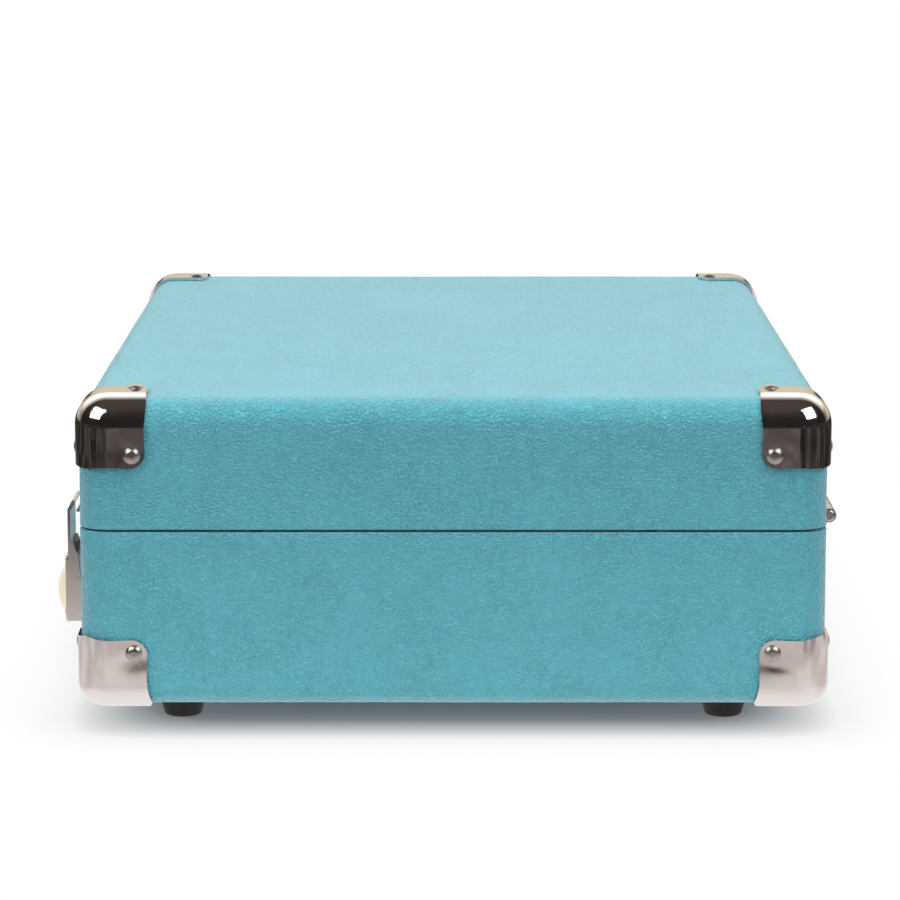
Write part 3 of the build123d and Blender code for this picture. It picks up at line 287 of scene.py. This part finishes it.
def plywood(name):
    """Grain along X, plies stacked along Z."""
    mat = Mat(name)
    grain = mat.noise(scale=60, detail=6.0, rough=0.6, distortion=1.2,
                      at=mat.stretch((0.12, 2.2, 2.2)))
    fine = mat.noise(scale=900, detail=3.0, rough=0.6, at=mat.stretch((0.05, 1.0, 1.0)))
    plies = mat.wave("Z", scale=110, distortion=1.5)
    color = mat.mix(mat.remap(grain, MID), (0.43, 0.27, 0.14), (0.62, 0.44, 0.26))
    color = mat.mix(mat.times(plies, 0.25), color, (0.28, 0.17, 0.09))
    height = mat.plus(grain, mat.times(fine, 0.6))
    return mat.finish(color=color, rough=0.72,
                      normal=mat.bump(height, distance=0.0002, strength=0.5))


def cloth(name, thread, gap, pitch=0.9):
    """Weave with its thread pitch in millimetres."""
    mat = Mat(name)
    wave_x, wave_y, wave_z = [
        mat.wave(axis, scale=1000 / pitch / 6.28, distortion=0.6, detail=1.0) for axis in "XYZ"]
    weave = mat.plus(mat.times(wave_x, wave_y), mat.times(wave_z, 0.6))
    fibre = mat.noise(scale=2500, rough=0.7)
    color = mat.mix(mat.remap(weave, span=(0.1, 1.1)), gap, thread)
    soiled = mat.remap(mat.noise(scale=22, detail=3.0), span=(0.35, 0.7), to=(0.0, 0.35))
    height = mat.plus(weave, mat.times(fibre, 0.5))
    return mat.finish(color=mat.mix(soiled, color, gap), rough=0.9, sheen=0.3,
                      normal=mat.bump(height, distance=0.00025, strength=0.6))


def turned_metal(name, tint, center):
    """Lathe-turned face: fine rings about a vertical axis at center, in metres."""
    mat = Mat(name)
    offset = mat.vector_math("SUBTRACT", {0: mat.place, 1: (*center, 0.0)})
    flat = mat.vector_math("MULTIPLY", {0: offset, 1: (1.0, 1.0, 0.0)})
    radius = mat.vector_math("LENGTH", {0: flat}, out="Value")
    along = mat.node("ShaderNodeCombineXYZ", {"X": radius}).outputs[0]
    rings = mat.noise(scale=5200, detail=2.0, rough=0.7, at=along)
    return mat.finish(color=mat.mix(rings, shade(tint, gain=0.8), tint), metal=1.0,
                      rough=mat.remap(rings, MID, to=(0.2, 0.36)),
                      normal=mat.bump(rings, distance=0.00006, strength=0.6), aniso=0.4)


def circuit_board(name):
    mat = Mat(name)
    tracks = mat.node("ShaderNodeTexBrick", {
        "Scale": 160, "Color1": (0.01, 0.10, 0.035), "Color2": (0.012, 0.13, 0.05),
        "Mortar": (0.02, 0.22, 0.08), "Mortar Size": 0.03, "Vector": mat.place})
    green = tracks.outputs["Color"]
    # a trace of random cell colour, mostly covered again by the green
    color = mat.mix(0.12, green, mat.voronoi(scale=230, out="Color"))
    color = mat.mix(0.75, color, green)
    return mat.finish(color=color, coat=0.3,
                      rough=mat.remap(mat.noise(scale=300, detail=3.0), MID, to=(0.25, 0.4)),
                      normal=mat.bump(tracks.outputs["Fac"], distance=0.00005, strength=0.5))


TEAL = leatherette("teal_leatherette", base=srgb(70, 152, 166), painted_groove_shade=srgb(44, 118, 134),
                   light=srgb(75, 157, 170), cell=1.7, strength=1.0, depth=0.0005, sheen=0.52)
CREAM = leatherette("cream_vinyl", base=srgb(226, 208, 182), painted_groove_shade=srgb(196, 172, 140),
                    light=srgb(232, 216, 192), cell=1.1, strength=0.5, depth=0.00015, sheen=0.0)
CHROME = chrome("corner_chrome", tint=(0.80, 0.775, 0.76), rough=0.05, dents=0.3)
NAIL = chrome("nail_nickel", tint=(0.46, 0.42, 0.385), rough=0.30, dents=0.15)
NICKEL = chrome("latch_nickel", tint=(0.76, 0.74, 0.72), rough=0.16, dents=0.12)
STEEL = brushed("zinc_steel", tint=(0.60, 0.61, 0.62), rough=0.32)
BRONZE = brushed("bronze", tint=(0.66, 0.47, 0.24), rough=0.26)
ARM = plastic("arm_black", tint=(0.010, 0.010, 0.011), rough=0.22, coat=0.3)
DECK = plastic("deck_black", tint=(0.016, 0.016, 0.018), rough=0.46, grain=1500, relief=0.00008)
BLACK = plastic("part_black", tint=(0.018, 0.018, 0.02), rough=0.42)
KNOB = plastic("knob_cream", tint=srgb(226, 212, 188), rough=0.33, dust=0.0, relief=0.00002)
RED = plastic("cartridge_red", tint=(0.42, 0.015, 0.012), rough=0.26, coat=0.4)
IVORY = plastic("stylus_ivory", tint=srgb(232, 228, 214), rough=0.3, dust=0.0)
WIRE = plastic("wire_red", tint=(0.36, 0.012, 0.01), rough=0.4)
FEET = rubber("foot_rubber", tint=(0.005, 0.0046, 0.005), rough=0.7)
MAT_RUBBER = rubber("mat_rubber", tint=(0.02, 0.02, 0.021), rough=0.7)
BELT = rubber("belt_rubber", tint=(0.014, 0.014, 0.014), rough=0.5)
WOOD = plywood("plywood")
LINER = cloth("lid_lining", thread=srgb(205, 198, 182), gap=srgb(160, 152, 136))
CONE = cloth("cone_paper", thread=(0.035, 0.034, 0.034), gap=(0.014, 0.014, 0.014), pitch=0.5)
PLATTER = turned_metal("platter_alloy", tint=(0.62, 0.63, 0.65), center=(-0.060, 0.018))
BOARD = circuit_board("circuit_board")

# material, CAD pieces that wear it
FINISHES = [
    (WOOD, "base_box lid_box deck_cleats"),
    (CHROME, "base_corner_guards lid_corner_guards"),
    (NAIL, "base_corner_nails lid_corner_nails base_rivets lid_rivets"),
    (FEET, "rubber_feet lid_bumpers"),
    (STEEL, "foot_screws drive_motor speaker_frames volume_pot tonearm_gimbal counterweight"),
    (DECK, "deck_plate"),
    (NICKEL, "deck_screws headphone_jack latch_plates handle_brackets hinge_lower_leaves"
             " hinge_pins latch_strikes hinge_upper_leaves spindle latch_lever_left"
             " latch_lever_right latch_hasp_left latch_hasp_right handle_links"),
    (BRONZE, "spindle_bearing line_out_jacks motor_pulley"),
    (BELT, "drive_belt"),
    (CONE, "speaker_cones"),
    (BOARD, "amplifier_board"),
    (BLACK, "board_components jack_panel power_jack speed_switch"),
    (WIRE, "wiring"),
    (ARM, "arm_rest tonearm_base tonearm_tube headshell"),
    (PLATTER, "platter"),
    (MAT_RUBBER, "platter_mat"),
    (RED, "cartridge"),
    (IVORY, "stylus"),
    (KNOB, "volume_knob speed_selector"),
    (LINER, "lid_liner"),
    (TEAL, "lid_wrap base_wrap"),
    (CREAM, "handle_grip"),
]
material_of = {part: material for material, parts in FINISHES for part in parts.split()}
for part_name, part in PARTS.items():
    part.data.materials.clear()
    part.data.materials.append(material_of[part_name])


# ------------------------------------------------------------------ mesh helpers
def add_object(name, data):
    obj = bpy.data.objects.new(name, data)
    bpy.context.scene.collection.objects.link(obj)
    return obj


def mesh_object(name, verts, faces, material):
    """Smooth mesh from points in millimetres, with doubles merged and normals outward."""
    mesh = bpy.data.meshes.new(name)
    mesh.from_pydata([tuple(c * MM for c in v) for v in verts], [], faces)
    mesh.validate()
    obj = add_object(name, mesh)
    mesh.materials.append(material)
    for polygon in mesh.polygons:
        polygon.use_smooth = True
    bm = bmesh.new()
    bm.from_mesh(mesh)
    bmesh.ops.remove_doubles(bm, verts=bm.verts, dist=1e-6)
    bmesh.ops.recalc_face_normals(bm, faces=bm.faces)
    bm.to_mesh(mesh)
    bm.free()
    return obj


def add_modifier(obj, kind, name, **props):
    modifier = obj.modifiers.new(name, kind)
    for key, value in props.items():
        setattr(modifier, key, value)


def stand_in(obj, group, part):
    """Let the object move with a group in place of a CAD piece."""
    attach(obj, group)
    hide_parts(part)


def steps(low, high, size, extra=()):
    """Even positions from low to high, passing through the extra positions between them."""
    marks = sorted({low, high, *[e for e in extra if low < e < high]})
    out = []
    for a, b in zip(marks, marks[1:]):
        count = max(1, round((b - a) / size))
        out += [a + (b - a) * i / count for i in range(count)]
    return out + [high]


def quarter(parts):
    """Angles from 0 to 90 degrees, both included."""
    return [math.pi / 2 * i / parts for i in range(parts + 1)]


def rounded_ring(half_x, half_y, radius, z, along_x, along_y, arc_parts):
    """Rounded rectangle, from its -X +Y corner clockwise seen from above.

    along_x and along_y place the points on the straight sides, as fractions from -1 to 1.
    """
    cx, cy = half_x - radius, half_y - radius
    arc = [(radius * math.sin(a), radius * math.cos(a)) for a in quarter(arc_parts)[1:-1]]
    points = [(u * cx, half_y) for u in along_x]
    points += [(cx + s, cy + c) for s, c in arc]
    points += [(half_x, u * cy) for u in reversed(along_y)]
    points += [(cx + c, -cy - s) for s, c in arc]
    points += [(u * cx, -half_y) for u in reversed(along_x)]
    points += [(-cx - s, -cy - c) for s, c in arc]
    points += [(-half_x, u * cy) for u in along_y]
    points += [(-cx - c, cy + s) for s, c in arc]
    return [(x, y, z) for x, y in points]


def ring_quads(count, size):
    """Quads between neighbouring closed rings of the same size."""
    return [(k * size + j, k * size + (j + 1) % size,
             (k + 1) * size + (j + 1) % size, (k + 1) * size + j)
            for k in range(count - 1) for j in range(size)]


def last_cap(count, size):
    return tuple(range((count - 1) * size, count * size))


# ------------------------------------------------------------------ leatherette over the case
STRAIGHT_X, STRAIGHT_Y = HALF_X - CORNER_R, HALF_Y - CORNER_R
CASE_ALONG_X = [x / STRAIGHT_X for x in steps(-STRAIGHT_X, STRAIGHT_X, GRID, OPENING_X)]
CASE_ALONG_Y = [y / STRAIGHT_Y for y in steps(-STRAIGHT_Y, STRAIGHT_Y, GRID)]
RIM_ROLL = 0.55   # radius of the skin rolled over the rim
SKIN_SINK = 0.30  # most the skin sinks between glue lines


def wrap_profile(rim_z, flat_z, edge_r, up):
    """(inset, z) from inside the rim, over it, along the wall and across the flat."""
    profile = [(7.75, rim_z + up * 0.55), (7.6, rim_z + up * 0.12), (7.2, rim_z), (4.0, rim_z),
               (1.6, rim_z)]
    profile += [(RIM_ROLL * (1 - math.sin(a)), rim_z + up * RIM_ROLL * (1 - math.cos(a)))
                for a in quarter(4)]
    low, high = sorted((rim_z + up * RIM_ROLL, flat_z - up * edge_r))
    profile += [(0.0, z) for z in steps(low, high, GRID, OPENING_Z)[::up][1:]]
    profile += [(edge_r * (1 - math.cos(a)), flat_z - up * edge_r * (1 - math.sin(a)))
                for a in quarter(9)[1:]]
    inset = edge_r
    while inset < HALF_Y - 4:
        inset = min(inset + GRID, HALF_Y - 3.2)
        profile.append((inset, flat_z))
    return profile


def in_opening(corners):
    x, y, z = (sum(c[axis] for c in corners) / 4 for axis in range(3))
    return (y > HALF_Y - 0.5 and OPENING_X[0] < x < OPENING_X[1]
            and OPENING_Z[0] < z < OPENING_Z[1])


def case_wrap(group, flat_z, edge_r, up):
    """Skin over one half of the case; up is 1 for the lid and -1 for the base."""
    rim_z = SEAM_Z + up * SEAM_GAP / 2
    rings = [rounded_ring(HALF_X - inset, HALF_Y - inset, max(CORNER_R - inset, 0.4), z,
                          CASE_ALONG_X, CASE_ALONG_Y, arc_parts=7)
             for inset, z in wrap_profile(rim_z, flat_z, edge_r, up)]
    size = len(rings[0])
    points = [point for ring in rings for point in ring]
    faces = [quad for quad in ring_quads(len(rings), size)
             if not in_opening([points[i] for i in quad])]
    faces.append(last_cap(len(rings), size))

    # the skin sinks a little by noise, less and less towards the rim
    verts = []
    for x, y, z in points:
        point = Vector((x, y, z))
        broad = 0.5 + 0.5 * noise.noise(point * 0.03 + Vector((3.1, 7.7, 1.9)))
        small = 0.5 + 0.5 * noise.noise(point * 0.11 + Vector((9.3, 1.7, 4.9)))
        sink = SKIN_SINK * (0.7 * broad + 0.3 * small) * min(1.0, abs(z - rim_z) / 6.0)
        in_x = -x / HALF_X if abs(x) > HALF_X - 3 else 0.0
        in_y = -y / HALF_Y if abs(y) > HALF_Y - 3 else 0.0
        in_z = -up if abs(z - flat_z) < 3 else 0.0
        verts.append((x + in_x * sink, y + in_y * sink, z + in_z * sink))
    obj = mesh_object(f"{group}_leatherette", verts, faces, TEAL)
    add_modifier(obj, "SOLIDIFY", "thickness", thickness=0.0004, offset=-1.0,
                 use_even_offset=True)
    stand_in(obj, group, f"{group}_wrap")


case_wrap("lid", TOP_Z, TOP_EDGE_R, up=1)
case_wrap("base", BOTTOM_Z, BOTTOM_EDGE_R, up=-1)


# ------------------------------------------------------------------ padded carrying handle
GRIP_Y, GRIP_Z, GRIP_HALF_HEIGHT = -148.8, 28.8, 12.3
GRIP_OUTER, GRIP_INNER = 4.2, 3.4              # padding on the -Y side and on the case side
GRIP_ENDS = [0, 0.15, 0.5, 1.1, 2.0, 3.2]      # stations over each rounded end
GRIP_SPANS = 44                                # spans between the two ends
GRIP_RING = 32


def grip():
    low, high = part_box("handle_grip")
    start = low[0] / MM
    length = high[0] / MM - start
    end = GRIP_ENDS[-1]
    stations = GRIP_ENDS + [end + (length - 2 * end) * i / GRIP_SPANS
                            for i in range(1, GRIP_SPANS)]
    stations += [length - t for t in reversed(GRIP_ENDS)]
    verts = []
    for t in stations:
        from_end = min(1.0, min(t, length - t) / end)
        full = 0.62 + 0.38 * math.sqrt(1 - (1 - from_end) ** 2)
        # the middle swells a little where the hand closes
        swell = 1.0 + 0.03 * (1 - (2 * (t / length - 0.5)) ** 2)
        for j in range(GRIP_RING):
            angle = 2 * math.pi * j / GRIP_RING
            across = math.cos(angle)
            z = math.sin(angle) * GRIP_HALF_HEIGHT * (0.97 + 0.03 * full) * (0.86 + 0.14 * full)
            bow = 1 - (z / GRIP_HALF_HEIGHT) ** 2
            padding = -GRIP_OUTER if across < 0 else GRIP_INNER
            y = GRIP_Y + 2.6 - 3.0 * bow + padding * abs(across) ** 0.75 * full * swell
            z += noise.noise(Vector((t * 0.05, z * 0.1, 2.0))) * 0.12
            verts.append((start + t, y, GRIP_Z + z))
    count = len(stations)
    faces = ring_quads(count, GRIP_RING)
    faces += [tuple(reversed(range(GRIP_RING))), last_cap(count, GRIP_RING)]
    obj = mesh_object("handle_padding", verts, faces, CREAM)
    add_modifier(obj, "SUBSURF", "smooth", levels=1, render_levels=1)
    stand_in(obj, "handle", "handle_grip")


grip()


# ------------------------------------------------------------------ cloth lining in the lid
LINING_X, LINING_Y = HALF_X - 7.8, HALF_Y - 7.8
LINING_WALL_Z, LINING_FLAT_Z = 81.0, 115.2
LINING_EDGE_R = 7.0
LINING_CORNER_R = 3.9
HEM_INSET, HEM_Z, HEM_R = 1.05, 77.5, 0.95
LINING_FIXED_RINGS = 16                        # rings from the hem that keep their true place


def lining_profile():
    """(inset, corner radius, z) from behind the rolled hem, up the wall and over the flat."""
    profile = [(0.15, 79.4), (0.12, 77.4)]
    profile += [(HEM_INSET + HEM_R * math.cos(a), HEM_Z + HEM_R * math.sin(a))
                for a in [math.pi * (1.0 + i / 8) for i in range(9)]]
    profile += [(1.95, 78.6), (1.5, 79.3), (1.05, 79.9), (0.95, LINING_WALL_Z)]
    profile = [(inset, LINING_CORNER_R, z) for inset, z in profile]
    profile += [(1.0, LINING_CORNER_R + 0.5 * i, LINING_WALL_Z + 3.4 * i) for i in range(1, 9)]
    profile += [(1.0 + LINING_EDGE_R * (1 - math.cos(a)), 8.0 + i * 0.5,
                 LINING_FLAT_Z - LINING_EDGE_R * (1 - math.sin(a)))
                for i, a in enumerate(quarter(8)[1:-1], 1)]
    profile += [(inset, max(2.0, 12.0 - inset * 0.1), LINING_FLAT_Z)
                for inset in range(8, 120, 4)]
    return profile


def lining():
    profile = lining_profile()
    along_x, along_y = ([2 * i / parts - 1 for i in range(parts + 1)] for parts in (56, 42))
    verts = []
    for k, (inset, radius, ring_z) in enumerate(profile):
        ring = rounded_ring(LINING_X - inset, LINING_Y - inset, radius, ring_z,
                            along_x, along_y, arc_parts=8)
        size = len(ring)
        for x, y, z in ring:
            point = Vector((x, y, z))
            if k >= LINING_FIXED_RINGS:
                if z > 108:  # the flat sags towards the middle
                    middle = (1 - (x / LINING_X) ** 4) * (1 - (y / LINING_Y) ** 4)
                    z -= 1.5 * middle * min(1.0, inset / 30.0) + 0.35 * noise.noise(point * 0.05)
                if inset < 3:  # the walls stand slightly proud
                    pull = 0.25 * (1 + noise.noise(point * 0.09 + Vector((4.0, 2.0, 7.0))))
                    if abs(x) > LINING_X - 4:
                        x -= pull * x / LINING_X
                    if abs(y) > LINING_Y - 4:
                        y -= pull * y / LINING_Y
            verts.append((x, y, z))
    faces = ring_quads(len(profile), size) + [last_cap(len(profile), size)]
    obj = mesh_object("lid_lining", verts, faces, LINER)
    add_modifier(obj, "SOLIDIFY", "thickness", thickness=0.0005, offset=1.0)
    stand_in(obj, "lid", "lid_liner")


lining()


# ------------------------------------------------------------------ floor
FLOOR_HALF = 9.0

# contact shadow seen by the camera: depth in under the case, grey
CONTACT_SHADOW = [
    (0.0, 1.0), (0.225, (0.955, 0.955, 0.957)), (0.342, (0.885, 0.887, 0.89)),
    (0.458, (0.54, 0.545, 0.55)), (0.525, (0.34, 0.345, 0.355)), (0.583, (0.185, 0.192, 0.20)),
    (0.667, (0.125, 0.132, 0.14)), (0.79, (0.088, 0.092, 0.098)), (1.0, (0.075, 0.078, 0.082)),
]
# share of the real floor surface by distance out to 0.12 m
SURFACE_SHARE = [(0.0, 0.10), (0.4, 0.05), (1.0, 0.0)]
# painted light: glow the floor gives off near the case in place of bounced light, and its painted
# colour in reflections, by distance out to 0.6 m
BOUNCE = [(0.0, 1.0), (0.22, 0.85), (0.5, 0.20), (1.0, 0.10)]
REFLECTED = [
    (0.0, (0.98, 0.93, 0.92)), (0.07, (0.74, 0.67, 0.65)), (0.14, (0.60, 0.53, 0.51)),
    (0.36, (0.66, 0.59, 0.57)), (0.52, (0.09, 0.075, 0.07)), (0.8, (0.014, 0.012, 0.012)),
]


def emission(mat, color, strength=1.0):
    return mat.node("ShaderNodeEmission", {"Color": color, "Strength": strength}).outputs[0]


def reflected_floor(mat, distance, far, across):
    """Painted reflection: floor colour that only reflections see, with marks placed to show in the
    chrome; across is the Y coordinate.
    """
    color = mat.ramp(far, REFLECTED)

    # painted reflection: dark clouds far out
    clouds = mat.remap(mat.noise(scale=3.5, detail=1.0, rough=0.5), span=(0.50, 0.62))
    clouds = mat.times(clouds, mat.remap(distance, span=(0.36, 0.5)))
    color = mat.mix(clouds, color, (0.05, 0.042, 0.040))

    # painted reflection: pale spots about 0.6 m out, on the lines y = +-0.170
    spot_distance = mat.plus(0.57, mat.times(mat.noise(scale=14.0, detail=2.0), 0.05))
    off_out = mat.absolute(mat.minus(distance, spot_distance))
    off_line = mat.absolute(mat.minus(mat.absolute(across), 0.170))
    spots = mat.times(mat.remap(off_out, span=(0.034, 0.002)),
                      mat.remap(off_line, span=(0.022, 0.002)))
    color = mat.mix(spots, color, (0.50, 0.45, 0.42))

    # painted reflection: dark streaks beyond 0.10 m
    streaks = mat.noise(scale=13.0, detail=1.0, rough=0.4, at=mat.stretch((1.0, 0.6, 1.0)))
    streaks = mat.remap(streaks, span=(0.50, 0.62), to=(0.0, 0.75))
    streaks = mat.times(streaks, mat.remap(distance, span=(0.10, 0.15)))
    color = mat.mix(streaks, color, (0.10, 0.085, 0.08))

    # painted reflection: bright patches near the case
    glow = mat.remap(mat.noise(scale=9.0, detail=1.0, rough=0.4), span=(0.45, 0.60), to=(0.0, 0.6))
    glow = mat.times(glow, mat.remap(distance, span=(0.22, 0.05)))
    color = mat.mix(glow, color, (1.0, 0.96, 0.95))

    # painted reflection: a dark strip about 0.1 m out, with ragged ends
    strip = mat.times(mat.remap(distance, span=(0.092, 0.096)),
                      mat.remap(distance, span=(0.116, 0.110)))
    ragged = mat.plus(mat.absolute(across), mat.times(mat.noise(scale=60.0, detail=2.0), 0.012))
    strip = mat.times(strip, mat.remap(ragged, span=(0.136, 0.130)))
    return mat.mix(strip, color, (0.03, 0.024, 0.022))


def floor_material():
    """Paper white to the camera with a painted contact shadow under the case, a painted look for
    reflections and a painted glow for bounced light.
    """
    mat = Mat("floor_white")
    mat.finish(color=(0.86, 0.86, 0.865), rough=0.22, spec=0.25)
    ray = mat.node("ShaderNodeLightPath").outputs
    place = mat.node("ShaderNodeSeparateXYZ", {0: mat.place}).outputs

    # distance out from a rectangle the size of the case
    out_x = mat.math("MAXIMUM", mat.minus(mat.absolute(place["X"]), 0.18), 0.0)
    out_y = mat.math("MAXIMUM", mat.minus(mat.absolute(place["Y"]), 0.14), 0.0)
    distance = mat.math("SQRT", mat.plus(mat.times(out_x, out_x), mat.times(out_y, out_y)))

    # how far in under the case a point lies, with the corners smoothed over 0.05 m
    under = mat.node("ShaderNodeMath", {
        0: mat.minus(0.178, mat.absolute(place["X"])),
        1: mat.minus(0.137, mat.absolute(place["Y"])),
        2: 0.05}, operation="SMOOTH_MIN").outputs[0]
    shadow = mat.ramp(mat.remap(under, span=(-0.045, 0.075)), CONTACT_SHADOW)
    share = mat.ramp(mat.remap(distance, span=(0.0, 0.12)), SURFACE_SHARE)
    seen = mat.mix_shader(share, emission(mat, shadow), mat.bsdf.outputs[0])

    far = mat.remap(distance, span=(0.0, 0.6))
    # at factor 0 the black has no effect; raise it to dim the bounced light
    bounce = mat.mix(0.0, mat.ramp(far, BOUNCE), (0.0, 0.0, 0.0))
    reflected = reflected_floor(mat, distance, far, place["Y"])
    hidden = mat.mix_shader(ray["Is Glossy Ray"], emission(mat, bounce, strength=1.6),
                            emission(mat, reflected))
    mat.put(mat.tree.nodes["Material Output"].inputs["Surface"],
            mat.mix_shader(ray["Is Camera Ray"], hidden, seen))
    return mat.material


def floor():
    mesh = bpy.data.meshes.new("floor")
    corners = [(-1, -1), (1, -1), (1, 1), (-1, 1)]
    mesh.from_pydata([(x * FLOOR_HALF, y * FLOOR_HALF, 0) for x, y in corners], [],
                     [(0, 1, 2, 3)])
    obj = add_object("floor", mesh)
    mesh.materials.append(floor_material())


floor()


# ------------------------------------------------------------------ world
# colours seen in reflections, by height from just below the horizon to straight up
ROOM = [(0.0, (0.02, 0.018, 0.018)), (0.22, (0.018, 0.016, 0.016)), (0.45, (0.018, 0.015, 0.015)),
        (0.75, (0.034, 0.026, 0.024)), (1.0, (0.075, 0.058, 0.052))]
FAR_SIDE = [(0.0, (0.5, 0.47, 0.43)), (0.19, (0.62, 0.54, 0.42)), (0.27, (0.74, 0.64, 0.48)),
            (0.40, (0.74, 0.63, 0.47)), (0.50, (1.6, 1.5, 1.32)), (0.75, (2.2, 2.1, 1.9)),
            (1.0, (0.8, 0.78, 0.75))]


def studio_world():
    """White to the camera, soft fill light, and a dark room that is bright towards -X."""
    world = bpy.data.worlds.new("studio")
    bpy.context.scene.world = world
    world.use_nodes = True
    tree = Nodes(world.node_tree)
    tree.tree.nodes.clear()
    output = tree.node("ShaderNodeOutputWorld")
    ray = tree.node("ShaderNodeLightPath").outputs
    generated = tree.node("ShaderNodeTexCoord").outputs["Generated"]
    direction = tree.node("ShaderNodeSeparateXYZ", {0: generated}).outputs

    def background(color, strength):
        return tree.node("ShaderNodeBackground",
                         {"Color": color, "Strength": strength}).outputs[0]

    height = tree.remap(direction["Z"], span=(-0.2, 1.0))
    reflected = tree.mix_shader(tree.remap(direction["X"], span=(-0.25, -0.75)),
                                background(tree.ramp(height, ROOM), strength=1.0),
                                background(tree.ramp(height, FAR_SIDE), strength=1.0))
    fill = background((0.97, 0.985, 1.0), strength=0.50)
    unseen = tree.mix_shader(ray["Is Glossy Ray"], fill, reflected)
    white = background((1.0, 1.0, 1.0), strength=1.0)
    tree.put(output.inputs["Surface"], tree.mix_shader(ray["Is Camera Ray"], unseen, white))


studio_world()


# ------------------------------------------------------------------ lights
AIM = Vector((0, 0, 0.07))  # the point all softboxes face

# name, azimuth from +X towards +Y, elevation (degrees), distance, side (m), power (W),
# seen in reflections
SOFTBOXES = [
    ("left_softbox", -48, 38, 1.6, 0.95, 10.6, True),
    ("right_softbox", 48, 38, 1.6, 0.95, 10.6, True),
    ("overhead_softbox", 0, 80, 1.6, 0.9, 23, False),
    ("rear_softbox", 180, 35, 1.7, 1.4, 8, False),
]


def softbox(name, azimuth, elevation, distance, side, power, glossy):
    light = bpy.data.lights.new(name, "AREA")
    light.shape = "RECTANGLE"
    light.size = light.size_y = side
    light.energy = power
    obj = add_object(name, light)
    turn, rise = math.radians(azimuth), math.radians(elevation)
    offset = distance * Vector((math.cos(rise) * math.cos(turn),
                                math.cos(rise) * math.sin(turn), math.sin(rise)))
    obj.location = AIM + offset
    obj.rotation_euler = (-offset).to_track_quat("-Z", "Y").to_euler()
    obj.visible_glossy = glossy


for row in SOFTBOXES:
    softbox(*row)


# ------------------------------------------------------------------ camera
CAMERA_PITCH = 8.5      # degrees below level
CAMERA_TURN = 0.0425    # degrees off the -X axis

camera = bpy.data.cameras.new("photo_camera")
camera.sensor_width = 36.0
camera.lens = 145.68
camera.shift_y = -0.1041105
camera.clip_start = 0.05
camera_object = add_object("photo_camera", camera)
camera_object.location = (1.446, -0.0002, 0.3271)
camera_object.rotation_euler = (math.radians(90.0 - CAMERA_PITCH), 0.0,
                                math.radians(90.0 + CAMERA_TURN))
bpy.context.scene.camera = camera_object
bpy.context.scene.view_settings.view_transform = "Standard"
